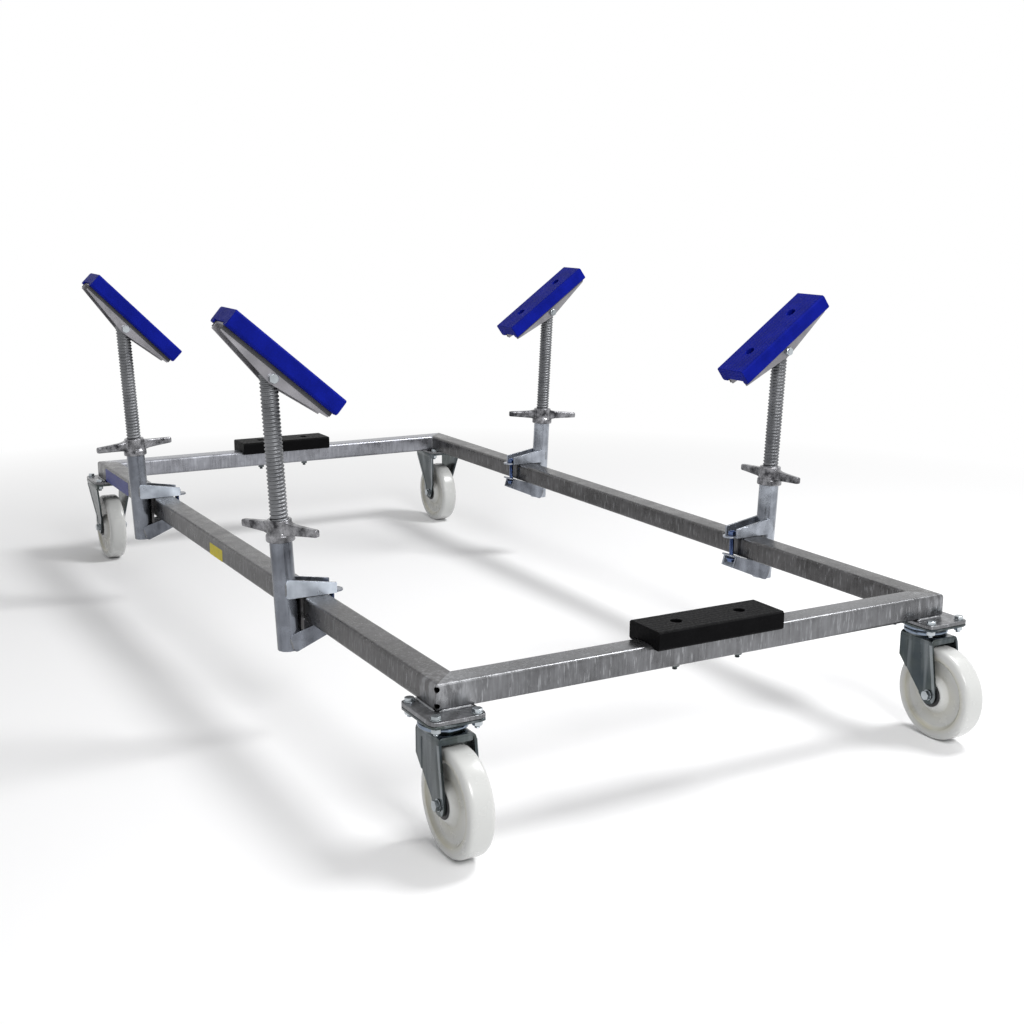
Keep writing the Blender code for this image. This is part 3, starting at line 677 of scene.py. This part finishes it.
def threadRod(radius, low, high, matrix):
    # rings of crest and root in turn, two to a pitch
    v = fastenerValues
    count = max(4, int((high - low) / v["pitch"] * 2))
    height = np.linspace(low, high, count)
    size = np.where(np.arange(count) % 2, radius, radius * v["rootShare"])
    profile = np.concatenate([[(0, low)], np.column_stack([size, height]), [(0, high)]])
    return turnedSurface(profile, v["threadSteps"], matrix)


def washerSurface(radius, hole, thickness, matrix):
    edge = thickness * fastenerValues["washerEdge"]
    profile = [(hole, 0), (radius - edge, 0), (radius, edge), (radius, thickness - edge),
               (radius - edge, thickness), (hole, thickness)]
    return turnedSurface(profile, fastenerValues["washerSteps"], matrix, closed=True)


def sleeveSurface(inner, outer, low, high, steps, matrix):
    return turnedSurface([(inner, low), (outer, low), (outer, high), (inner, high)], steps,
                         matrix, closed=True)


def boltSurfaces(kind, matrix, grip, washers=True, turn=0.0):
    # matrix: Z points out of the head; the head stands on zero, the nut under -grip
    v = boltValues[kind]
    spin = Matrix.Rotation(turn, 4, "Z")
    thick = fastenerValues["washer"] if washers else 0.0
    nutTop = -grip - thick
    nutFoot = nutTop - v["nut"]
    surfaces = [hexSurface(v["flats"], height, moveAlong(matrix, 0, 0, level) @ spin)
                for height, level in ((v["head"], thick), (v["nut"], nutFoot))]
    surfaces.append(threadRod(v["shank"], nutFoot - v["tail"],
                              v["head"] * fastenerValues["intoHead"], matrix))
    if washers:
        surfaces += [washerSurface(v["washer"], v["shank"], thick, moveAlong(matrix, 0, 0, level))
                     for level in (0, nutTop)]
    return surfaces


plateBoltValues = {"inset": 0.015, "turns": (0.3, 1.1, 0.7, 0.1), "plate": 0.005}


def makePlateBolts():
    v = plateBoltValues
    for place in places:
        low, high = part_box("corner_plate_" + place)
        under = "caster_plate_" if place.startswith("front") else "caster_bracket_"
        grip = high.z - (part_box(under + place)[1].z - v["plate"])
        rear, front = low.x + v["inset"], high.x - v["inset"]
        right, left = low.y + v["inset"], high.y - v["inset"]
        surfaces = []
        for spot, turn in zip(((rear, right), (front, right), (front, left), (rear, left)),
                              v["turns"]):
            surfaces += boltSurfaces("plate", Matrix.Translation((*spot, high.z)), grip, True, turn)
        addPiece("plate_bolts_" + place, surfaces, "bright", "frame", sharp=30)


makePlateBolts()


# casters

wheelValues = {"radius": 0.100, "half": 0.025, "rim": 0.0785, "foot": 0.0715, "web": 0.0175,
               "bossFoot": 0.042, "boss": 0.030, "hub": 0.029, "bore": 0.0108, "steps": 112,
               "rounds": (0.0001, 0.0115, 0.0022, 0.005, 0.006, 0.0022, 0.0006, 0.0001),
               "roundSteps": 6, "tread": 0.0003, "treadEnd": 0.0017,
               "creaseTone": ((0.0765, 0.0042, 1.0), (0.044, 0.004, 0.5)), "sealLevel": 0.0292,
               "seal": ((0.0112, 0), (0.0270, 0), (0.0270, 0.0012), (0.0250, 0.0022),
                        (0.0150, 0.0022), (0.0140, 0.0014), (0.0112, 0.0014))}


def wheelProfile():
    # half of the rim, web and hub in section, and the same again mirrored
    v = wheelValues
    corners = [(v["radius"], 0), (v["radius"], v["half"]), (v["rim"], v["half"]),
               (v["foot"], v["web"]), (v["bossFoot"], v["web"]), (v["boss"], v["hub"]),
               (v["bore"], v["hub"]), (v["bore"], 0)]
    steps = v["roundSteps"]
    half = roundedOutline(corners, v["rounds"], steps)[steps:-steps]
    half = np.concatenate([[(v["radius"], v["tread"])], half[half[:, 1] > v["treadEnd"]]])
    return np.concatenate([half, half[::-1] * (1, -1)])


def makeWheels():
    v = wheelValues
    profile = wheelProfile()
    for place in places:
        matrix = axisMatrix(joints["wheel_spin_" + place]["pos_m"], (0, 1, 0), (0, 0, 1))
        body = "wheel_" + place
        piece = meshObject("solid_wheel_" + place,
                           [turnedSurface(profile, v["steps"], matrix, True)])
        # crease tone = sum of weight * exp(-((radius - middle) / spread)^2)
        local = placed(readArray(piece.data.vertices, "co", 3), matrix.inverted())
        radius = np.hypot(local[:, 0], local[:, 1])
        share = sum(weight * np.exp(-((radius - middle) / spread) ** 2)
                    for middle, spread, weight in v["creaseTone"])
        creaseTone = piece.data.attributes.new("creaseTone", "FLOAT", "POINT")
        creaseTone.data.foreach_set("value", np.clip(share, 0, 1))
        finishPiece(piece, "nylon", body, ("wheel_" + place,))
        seals = [turnedSurface(v["seal"], 48, moveAlong(matrix, 0, 0, level)
                               @ Matrix.Rotation(turn, 4, "X"), closed=True)
                 for level, turn in ((-v["sealLevel"], pi), (v["sealLevel"], 0))]
        addPiece("hub_seals_" + place, seals, "seal", body, sharp=40)


makeWheels()
print("wheels made")

casterValues = {"weldSoft": 0.0016, "plateSoft": 0.0010, "forkSoft": 0.0008, "face": 0.0370,
                "slack": 0.0012, "sleeve": 0.010, "sleeveHalf": 0.0316, "turn": 0.25}


def makeCasters():
    v = casterValues
    for place in places:
        nodeCopy("corner_plate_" + place, "weld_plate_" + place, "ends", "frame",
                 v["weldSoft"])
        if place.startswith("front"):
            body = "fork_" + place
            nodeCopy("caster_plate_" + place, "top_plate_" + place, "plated", "frame",
                     v["plateSoft"])
            nodeCopy("fork_" + place, "pressed_fork_" + place, "plated", body,
                     v["forkSoft"])
        else:
            body = "frame"
            nodeCopy("caster_bracket_" + place, "fixed_bracket_" + place, "plated", body,
                     v["plateSoft"])
        centre = joints["wheel_spin_" + place]["pos_m"]
        grip = v["face"] * 2 + v["slack"]
        matrix = axisMatrix((centre[0], centre[1] - grip / 2, centre[2]), (0, -1, 0), (0, 0, 1))
        surfaces = boltSurfaces("axle", matrix, grip, True, v["turn"])
        surfaces.append(sleeveSurface(boltValues["axle"]["shank"], v["sleeve"], -v["sleeveHalf"],
                                      v["sleeveHalf"], 32,
                                      axisMatrix(centre, (0, 1, 0), (0, 0, 1))))
        addPiece("axle_bolt_" + place, surfaces, "bright", body, ("axle_" + place,),
                 sharp=30)


ringValues = {"radius": 0.0462, "inner": 0.040, "height": 0.0086, "gap": 0.0004, "round": 0.48,
              "insideRound": 0.0005, "cap": 0.025, "capHeight": 0.0185, "wall": 0.005,
              "race": 0.0105}


def makeRaceRings():
    # blue zinc rings where the swivel heads part, one above and one below
    v = ringValues
    high, inside, bulge = v["height"], v["insideRound"], v["height"] * v["round"]
    outline = roundedOutline([(v["inner"], 0), (v["radius"], 0), (v["radius"], high),
                              (v["inner"], high)], [inside, bulge, bulge, inside], 6)
    for place in places[:2]:
        x, y, _ = joints["swivel_" + place]["pos_m"]
        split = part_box("fork_" + place)[1].z
        for name, body, level in (("upper_race_", "frame", split + v["gap"]),
                                  ("lower_race_", "fork_" + place, split - high - v["gap"])):
            ring = turnedSurface(outline, 72, Matrix.Translation((x, y, level)), closed=True)
            addPiece(name + place, [ring], "ring", body, sharp=60)
        # domed cap on the kingpin, under the crown
        under = split - v["race"] - v["wall"] - 3 * v["gap"]
        angle = np.linspace(0, pi / 2, 9)
        dome = np.column_stack([v["cap"] * np.sin(angle), under - v["capHeight"] * np.cos(angle)])
        cap = turnedSurface(np.concatenate([dome, [(0, under)]]), 48,
                            Matrix.Translation((x, y, 0)))
        addPiece("kingpin_cap_" + place, [cap], "plated", "frame", sharp=50)


ribValues = {"width": 0.008, "proud": 0.0011, "sink": 0.0003, "face": 0.037, "eye": 0.021,
             "frontTop": (0.055, 0.2215), "frontHigh": 0.2105, "rearTop": (0.064, 0.2455),
             "rearHigh": 0.2325, "knee": 0.133, "flare": 0.015, "rise": 0.100, "lowest": -50,
             "bendSteps": 9, "soft": 0.0004, "lipBack": 0.0525, "lipFront": 0.0545,
             "lipLow": 0.2070, "lipHigh": 0.2170, "lipHalf": 0.0322, "lipSoft": 0.0006}


def makeRibs():
    # edge strips on the leading edge of the front legs and both edges of the rear ones, paler than
    # the legs as painted sheen: a straight run that meets the circle round the axle and then
    # follows it
    v = ribValues
    for place in places:
        front = place.startswith("front")
        body = "fork_" + place if front else "frame"
        hub = joints["wheel_spin_" + place]["pos_m"]
        start = joints["swivel_" + place]["pos_m"] if front else hub
        forward = 1 if hub[0] > start[0] or not front else -1
        eye = np.array((abs(hub[0] - start[0]), hub[2]))
        top = np.array(v["frontTop"] if front else v["rearTop"])
        away = top - eye
        angle = np.arctan2(away[1], away[0]) - np.arccos(v["eye"] / np.linalg.norm(away))
        turn = np.linspace(angle, radians(v["lowest"]), v["bendSteps"])
        bend = eye + v["eye"] * np.column_stack([np.cos(turn), np.sin(turn)])
        high = v["frontHigh"] if front else v["rearHigh"]
        levels = [high] if front else [high, (high + v["knee"]) / 2, v["knee"]]
        line = [top + (bend[0] - top) * (top[1] - level) / (top[1] - bend[0][1])
                for level in levels]
        edge = np.concatenate([line, bend])
        turn = np.concatenate([np.full(len(line), angle), turn])
        inner = edge - v["width"] * np.column_stack([np.cos(turn), np.sin(turn)])
        ribs = []
        for side in (-1, 1):
            for way in ((forward,) if front else (-1, 1)):
                rings = []
                for outside, inside in zip(edge, inner):
                    ring = []
                    for (along, level), out in ((outside, -v["sink"]), (inside, -v["sink"]),
                                                (inside, v["proud"]), (outside, v["proud"])):
                        flare = 0 if front else min(max((level - v["knee"]) / v["rise"], 0), 1)
                        across = v["face"] + flare * v["flare"] + out
                        ring.append((start[0] + way * along, start[1] + side * across, level))
                    rings.append(ring)
                ribs.append(loftedSurface(rings))
        if front:
            # lip turned down from the crown's leading edge, just over the wheel
            corners = [(v["lipBack"], v["lipLow"]), (v["lipFront"], v["lipLow"]),
                       (v["lipFront"], v["lipHigh"]), (v["lipBack"], v["lipHigh"])]
            lip = [[(start[0] + forward * along, start[1] + side * v["lipHalf"], level)
                    for along, level in corners] for side in (-1, 1)]
            addPiece("crown_lip_" + place, [loftedSurface(lip)], "plated", body,
                     soften=v["lipSoft"])
        # the ribs take the paler copy of the plating: painted sheen
        addPiece("leg_ribs_" + place, ribs, "paintedSheen", body, soften=v["soft"])


makeCasters()
makeRibs()
makeRaceRings()
print("casters made")


# props

screwValues = {"crest": 0.019, "root": 0.0168, "bore": 0.0145, "pitch": 0.008, "turnSteps": 40,
               "rowsPerTurn": 8, "length": 0.500, "end": 0.010, "steepness": 0.78}


def screwSurface(matrix):
    # height = row share of a pitch + angle share of a pitch, held between the screw's ends;
    # radius = root + depth * clip(1/2 + steepness * cos(2 pi row share), 0, 1)
    v = screwValues
    low, high = v["end"] - v["length"], v["end"]
    rows = int(v["length"] / v["pitch"] + 3) * v["rowsPerTurn"]
    row = np.arange(rows + 1)[:, None] - v["rowsPerTurn"]
    angle = np.arange(v["turnSteps"] + 1)[None, :] * 2 * pi / v["turnSteps"]
    height = low + v["pitch"] * (row / v["rowsPerTurn"] + angle / (2 * pi))
    phase = (row % v["rowsPerTurn"]) / v["rowsPerTurn"]
    wave = np.clip(0.5 + v["steepness"] * np.cos(2 * pi * phase), 0, 1)
    radius = v["root"] + (v["crest"] - v["root"]) * wave + 0 * angle
    nearEnd = np.minimum(height - low, high - height)
    radius = np.minimum(radius, v["root"] + np.clip(nearEnd, 0, 1))
    height = np.clip(height, low, high)
    points = np.stack([radius * np.cos(angle), radius * np.sin(angle), height], axis=-1)
    return (placed(points.reshape(-1, 3), matrix),
            gridFaces(rows + 1, v["turnSteps"] + 1, False))


def makeScrews():
    v = screwValues
    low, high = v["end"] - v["length"], v["end"]
    profiles = [[(v["bore"], low), (v["bore"], high)]]
    profiles += [[(v["bore"], level), (v["root"], level)] for level in (low, high)]
    for place in places:
        matrix = axisMatrix(joints["head_tilt_" + place]["pos_m"],
                            joints["nut_turn_" + place]["axis"])
        surfaces = [screwSurface(matrix)]
        surfaces += [turnedSurface(profile, v["turnSteps"], matrix) for profile in profiles]
        addPiece("threaded_screw_" + place, surfaces, "screws", "screw_" + place,
                 ("screw_" + place,))


makeScrews()

nutValues = {"flange": 0.0305, "flangeHeight": 0.013, "cone": 0.006, "body": 0.026,
             "height": 0.0465, "bore": 0.0195, "lift": 0.0003,
             "rounds": (0.001, 0.003, 0.004, 0.003, 0.0025, 0.001), "sunk": 0.003,
             "reach": 0.107, "level": 0.027, "corner": 0.0038, "rootHeight": 0.0235,
             "rootWidth": 0.0205, "tipHeight": 0.0155, "tipWidth": 0.0135,
             "share": (0, 0.06, 0.2, 0.5, 0.85, 0.965, 0.99, 1.0),
             "swell": (1.35, 1.18, 1.03, 1, 1, 1, 0.93, 0.78),
             "turns": {"front_right": 25.0, "rear_right": 98.5, "front_left": 0.4,
                       "rear_left": 73.7}}


def makeNuts():
    v = nutValues
    corners = [(v["bore"], 0), (v["flange"], 0), (v["flange"], v["flangeHeight"]),
               (v["body"], v["flangeHeight"] + v["cone"]), (v["body"], v["height"]),
               (v["bore"], v["height"])]
    profile = roundedOutline(corners, v["rounds"], 4)
    # handles: rounded box rings that taper outwards, swell at the root and close at the tip
    share, swell = np.array(v["share"]), np.array(v["swell"])
    reach = v["body"] - v["sunk"] + share * (v["reach"] - v["body"] + v["sunk"])
    high = (v["rootHeight"] + share * (v["tipHeight"] - v["rootHeight"])) * swell
    wide = (v["rootWidth"] + share * (v["tipWidth"] - v["rootWidth"])) * swell
    for place in places:
        joint = joints["nut_turn_" + place]
        matrix = (axisMatrix(joint["pos_m"], joint["axis"], (-endSide(place)[1], 0, 0))
                  @ Matrix.Translation((0, 0, v["lift"]))
                  @ Matrix.Rotation(radians(v["turns"][place]), 4, "Z"))
        surfaces = [turnedSurface(profile, 56, matrix, closed=True)]
        for end in (-1, 1):
            rings = []
            for at, tall, broad in zip(reach, high, wide):
                outline = boxOutline(broad, tall, v["corner"], 4)
                rings.append(np.column_stack([np.full(len(outline), end * at), outline[:, 0],
                                              outline[:, 1] + v["level"]]))
            surfaces.append(loftedSurface(rings, matrix))
        addPiece("cast_nut_" + place, surfaces, "cast", "nut_" + place,
                 ("wing_nut_" + place,), sharp=50)


makeNuts()
print("screws and nuts made")


def outlineRings(outline, levels):
    # an outline in X and Z, at each of these places along Y
    return [np.column_stack([outline[:, 0], np.full(len(outline), level), outline[:, 1]])
            for level in levels]


blockValues = {"length": 0.300, "width": 0.100, "thickness": 0.038, "edge": 0.004,
               "groove": 0.061, "grooveDepth": 0.007, "hole": 0.0115, "holeDepth": 0.024,
               "cutter": 0.04, "spacing": 0.152, "soft": 0.0016, "softSteps": 3}


def blockPiece(name, matrix, look, body, node):
    # outline across the block, carried along its length; counterbores cut from above
    v = blockValues
    half, high, edge = v["width"] / 2, v["thickness"], v["edge"]
    right = [(v["groove"] / 2, v["grooveDepth"]), (v["groove"] / 2, 0), (half - edge, 0),
             (half, edge), (half, high - edge), (half - edge, high)]
    outline = np.array(right + [(-a, b) for a, b in reversed(right)])
    count = len(outline)
    ends = outlineRings(outline, (-v["length"] / 2, v["length"] / 2))
    piece = meshObject(name, [(placed(np.concatenate(ends), matrix), gridFaces(2, count))],
                       [range(count), range(count, 2 * count)])
    hole = [(0, 0), (v["hole"], 0), (v["hole"], v["cutter"]), (0, v["cutter"])]
    cutWith(piece, [turnedSurface(hole, 32, moveAlong(matrix, 0, end * v["spacing"] / 2,
                                                      high - v["holeDepth"]))
                    for end in (-1, 1)])
    setUv(piece, matrix)
    softenEdges(piece, v["soft"], v["softSteps"])
    finishPiece(piece, look, body, (node,))


headValues = {"pad": 0.020, "soft": 0.0008, "sheet": 0.0012, "depth": 0.0148, "lift": 0.0066,
              "corner": 0.0006, "half": 0.029, "gap": 0.0001, "flangeHalf": 0.1465,
              "boltTop": 0.0345, "boltGrip": 0.0152, "boltTurn": 0.4, "cheeks": 0.058,
              "slack": 0.0006, "pivotTurn": 0.2, "spacer": (0.0193, 0.0247),
              "spacerRadii": (0.006, 0.010)}


def makeHeads():
    v = headValues
    base = boxOutline(v["sheet"], v["depth"], v["corner"], 2)
    for place in places:
        # origin at the pivot, Z square to the pad, Y inboard and up along the pad
        matrix = axisMatrix(joints["head_tilt_" + place]["pos_m"],
                            mounts["hull_pad_" + place]["axis"], (-endSide(place)[1], 0, 0))
        body = "head_" + place
        blockPiece("hull_pad_" + place, moveAlong(matrix, 0, 0, v["pad"]), "pad", body,
                   "pad_" + place)
        nodeCopy("head_bracket_" + place, "tilt_bracket_" + place, "heads", body,
                 v["soft"])
        # flange strips along both sides of the bracket under the pad's overhang, dark as painted
        # shadow of the pad
        flanges = []
        for across in (-1, 1):
            outline = base + (across * (v["half"] + v["sheet"] / 2 + v["gap"]),
                              v["pad"] - v["depth"] / 2 + v["lift"])
            flanges.append(loftedSurface(outlineRings(outline, (-v["flangeHalf"],
                                                                v["flangeHalf"])), matrix))
        addPiece("painted_shadow_flanges_" + place, flanges, "paintedShadowFlanges", body, sharp=40)
        bolts = []
        for end in (-1, 1):
            top = moveAlong(matrix, 0, end * blockValues["spacing"] / 2, v["boltTop"])
            bolts += boltSurfaces("block", top, v["boltGrip"], True, v["boltTurn"])
        addPiece("pad_bolts_" + place, bolts, "bright", body, sharp=30)
        # pivot bolt: head on the outer cheek, lock nut on the other, a spacer each side
        axis = matrix @ Matrix.Rotation(pi / 2, 4, "Y")
        grip = v["cheeks"] + v["slack"]
        surfaces = boltSurfaces("axle", moveAlong(axis, 0, 0, grip / 2), grip, False,
                                v["pivotTurn"])
        for side in (-1, 1):
            ends = sorted(side * level for level in v["spacer"])
            surfaces.append(sleeveSurface(*v["spacerRadii"], *ends, 28, axis))
        addPiece("pivot_fastener_" + place, surfaces, "bright", "screw_" + place,
                 ("pivot_bolt_" + place,), sharp=30)


makeHeads()

keelValues = {"seat": 0.0002, "nutGap": 0.0003, "turn": 0.5}


def makeKeelBlocks():
    v, block = keelValues, blockValues
    for name in ("front", "rear"):
        low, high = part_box("keel_block_" + name)
        spot = Matrix.Translation(((low.x + high.x) / 2, 0, low.z))
        blockPiece("keel_rest_" + name, spot, "block", "frame", "keel_block_" + name)
        surfaces = []
        for end in (-1, 1):
            seat = moveAlong(spot, 0, end * block["spacing"] / 2,
                             block["thickness"] - block["holeDepth"] + v["seat"])
            surfaces += boltSurfaces("block", seat, seat.translation.z - railLow.z + v["nutGap"],
                                     True, v["turn"])
        addPiece("keel_bolts_" + name, surfaces, "blued", "frame", sharp=30)


makeKeelBlocks()
print("heads and keel blocks made")


armValues = {"inner": 0.0231, "outer": 0.0256, "root": -0.0375, "tip": 0.0757, "base": 0.0006,
             "rootHigh": 0.0422, "tipHigh": 0.0231, "slope": radians(17), "reach": -0.0975,
             "hinge": (0.060, 0.0503), "lowBase": -0.0004, "lowTip": 0.0155,
             "lowRootHigh": 0.0410, "lowTipHigh": 0.0298, "corner": 0.007, "tipCorner": 0.001,
             "cornerSteps": 5, "soft": 0.0007, "saddle": (-0.0072, -0.0007),
             "saddleLow": -0.0686, "saddleHigh": -0.0004, "halfSaddle": 0.0254,
             "bead": 0.0021, "beadAcross": 0.0238, "beadOut": 0.0006,
             "beadLevels": (0.0080, 0.0350), "lowBeadLevels": (-0.0085, -0.0330)}


def makeArmPlates(place, x):
    # cheek plates lapped on the tube, a saddle against the rail, beads down the tube's sides
    v = armValues
    side = endSide(place)[1]

    def world(across, points):
        # points are (inboard from the rail's outer face, height over the rail's top)
        points = np.array(points, float)
        return np.column_stack([np.full(len(points), x + across),
                                side * (-railLow.y - points[:, 0]), railHigh.z + points[:, 1]])

    def lowered(points):
        # the lower arm's own plane, turned about the rail's inner bottom edge
        a, b = np.array(points, float).T
        width, height = v["hinge"]
        return np.column_stack([width + a * cos(v["slope"]) - b * sin(v["slope"]),
                                -height + a * sin(v["slope"]) + b * cos(v["slope"])])

    def plate(points):
        rounds = [v["corner"], v["tipCorner"], v["tipCorner"], v["corner"]]
        return roundedOutline(points, rounds, v["cornerSteps"])

    upper = plate([(v["root"], v["base"]), (v["tip"], v["base"]), (v["tip"], v["tipHigh"]),
                   (v["root"], v["rootHigh"])])
    lower = lowered(plate([(v["reach"], v["lowBase"]), (v["lowTip"], v["lowBase"]),
                           (v["lowTip"], -v["lowTipHigh"]), (v["reach"], -v["lowRootHigh"])]))
    rows = ([(v["root"] - v["beadOut"], level) for level in v["beadLevels"]],
            lowered([(v["reach"] - v["beadOut"], level) for level in v["lowBeadLevels"]]))
    beads, plates = [], []
    for across in (-1, 1):
        for outline in (upper, lower):
            plates.append(loftedSurface([world(across * v["inner"], outline),
                                         world(across * v["outer"], outline)]))
        for number, row in enumerate(rows):
            start, end = world(across * v["beadAcross"], row)
            beads.append(bead(start, end, v["bead"], number + 40))
    near, far = v["saddle"]
    corners = [(near, v["saddleLow"]), (far, v["saddleLow"]), (far, v["saddleHigh"]),
               (near, v["saddleHigh"])]
    saddle = [world(across * v["halfSaddle"], corners) for across in (-1, 1)]
    body = "clamp_" + place
    # the upper arms take lit copies of the finish, the right ones brightest: painted light
    addPiece("upper_arm_plates_" + place, plates[::2], "paintedLightArms" if side < 0 else "paintedLightPosts", body,
             soften=v["soft"])
    addPiece("lower_arm_plates_" + place, plates[1::2], "posts", body,
             soften=v["soft"])
    addPiece("rail_saddle_" + place, [loftedSurface(saddle)], "rails", body, sharp=40)
    addPiece("arm_beads_" + place, beads, "weld", body)


postValues = {"soft": 0.0009, "overRail": 0.0046, "washer": (0.0135, 0.006, 0.0022),
              "gap": 0.0002, "turn": 0.2}


def makePosts():
    v = postValues
    for place in places:
        body = "clamp_" + place
        # the left tubes take a paler, lit copy of the right tubes' finish: painted light
        nodeCopy("clamp_post_" + place, "clamp_tube_" + place,
                 "paintedLightPosts" if place.endswith("left") else "posts", body, v["soft"])
        low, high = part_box("tie_bolt_" + place)
        x, y = (low.x + high.x) / 2, (low.y + high.y) / 2
        makeArmPlates(place, x)
        seat = low.z + boltValues["tie"]["head"]
        matrix = Matrix.Translation((x, y, seat)) @ Matrix.Rotation(pi, 4, "X")
        grip = railHigh.z + v["overRail"] - matrix.translation.z
        surfaces = boltSurfaces("tie", matrix, grip, False, v["turn"])
        surfaces.append(washerSurface(*v["washer"], Matrix.Translation((x, y, seat + v["gap"]))))
        addPiece("clamp_bolt_" + place, surfaces, "blueBolt", body,
                 ("tie_bolt_" + place,), sharp=30)


makePosts()
print("clamps made")


# blank labels on the right rail's outer face

labelValues = {"thickness": 0.0003, "sunk": 0.0001, "corner": 0.002,
               "blue": {"from": -1.132, "to": -0.865, "low": 0.2605, "high": 0.3000},
               "yellow": {"from": -0.090, "to": 0.007, "low": 0.2600, "high": 0.2890}}


def makeLabels():
    sizes = labelValues
    for colour in ("blue", "yellow"):
        v = sizes[colour]
        outline = boxOutline(v["to"] - v["from"], v["high"] - v["low"], sizes["corner"], 4)
        outline = outline + ((v["from"] + v["to"]) / 2, (v["low"] + v["high"]) / 2)
        rings = outlineRings(outline, (railLow.y - sizes["thickness"], railLow.y + sizes["sunk"]))
        addPiece("blank_label_" + colour, [loftedSurface(rings)], colour + "Label", "frame",
                 sharp=40)


makeLabels()


# studio

studioValues = {"floor": (0.93, 0.93, 0.935), "fadeFrom": 1.5, "fadeTo": 3.4, "size": 40.0,
                "world": 0.42, "aim": (0, 0, 0.4),
                "key": {"spot": (1.2, 2.4, 4.0), "size": 1.6, "power": 140},
                "fill": {"spot": (4.4, -0.4, 3.0), "size": 1.8, "power": 110}}
rayKinds = ("Is Camera Ray", "Is Glossy Ray", "Is Transmission Ray")


def makeStudio():
    v = studioValues
    mesh = bpy.data.meshes.new("floor")
    half = v["size"]
    mesh.from_pydata([(-half, -half, 0), (half, -half, 0), (half, half, 0), (-half, half, 0)], [],
                     [(0, 1, 2, 3)])
    floor = linkObject("floor", mesh)
    look = Look("floor", v["floor"], 0.9)
    spot = look.node("ShaderNodeTexCoord", output="Object")
    distance = look.node("ShaderNodeVectorMath", {"operation": "LENGTH"}, {0: spot}, output=1)
    fade = look.span(distance, 0, 1, v["fadeFrom"], v["fadeTo"])
    seen = look.node("ShaderNodeLightPath", output=rayKinds[0])
    for kind in rayKinds[1:]:
        seen = seen.maths("MAXIMUM", look.node("ShaderNodeLightPath", output=kind))
    glow = look.node("ShaderNodeEmission", {}, {"Color": (1, 1, 1, 1), "Strength": 1.0})
    mixed = look.node("ShaderNodeMixShader", {},
                      {0: fade * seen, 1: Wire(look, look.shader.outputs[0]), 2: glow})
    look.feed(look.tree.nodes["Material Output"].inputs["Surface"], mixed)
    floor.data.materials.append(look.material)

    world = bpy.data.worlds.new("studio")
    bpy.context.scene.world = world
    world.use_nodes = True
    graph = Graph(world.node_tree)
    background = graph.tree.nodes["Background"]
    graph.feed(background.inputs["Color"], (1, 1, 1, 1))
    path = graph.tree.nodes.new("ShaderNodeLightPath")
    # 1 where camera, glossy or transmission rays look, the plain light level elsewhere
    strength = v["world"]
    for kind in rayKinds:
        strength = Wire(graph, path.outputs[kind]).maths("MAXIMUM", strength)
    graph.feed(background.inputs["Strength"], strength)

    for name in ("key", "fill"):
        lamp = bpy.data.lights.new(name, "AREA")
        lamp.shape, lamp.size, lamp.energy = "DISK", v[name]["size"], v[name]["power"]
        holder = linkObject(name, lamp)
        holder.location = v[name]["spot"]
        aim = Vector(v["aim"]) - Vector(v[name]["spot"])
        holder.rotation_euler = aim.to_track_quat("-Z", "Y").to_euler()


makeStudio()

cameraValues = {"lens": 49.752, "sensor": 36, "place": (3.24909, -1.63444, 1.12859),
                "yaw": 150.469, "pitch": -12.5355, "roll": 0.3048}


def makeCamera():
    v = cameraValues
    yaw, pitch, roll = (radians(v[name]) for name in ("yaw", "pitch", "roll"))
    ahead = Vector((cos(pitch) * cos(yaw), cos(pitch) * sin(yaw), sin(pitch)))
    right = Vector((sin(yaw), -cos(yaw), 0))
    up = right.cross(ahead)
    right, up = cos(roll) * right + sin(roll) * up, cos(roll) * up - sin(roll) * right
    camera = linkObject("camera", bpy.data.cameras.new("camera"))
    camera.data.lens, camera.data.sensor_width = v["lens"], v["sensor"]
    camera.matrix_world = (Matrix.Translation(v["place"])
                           @ Matrix((right, up, -ahead)).transposed().to_4x4())
    bpy.context.scene.camera = camera


makeCamera()
bpy.context.scene.view_settings.view_transform = "Standard"
print("scene ready")
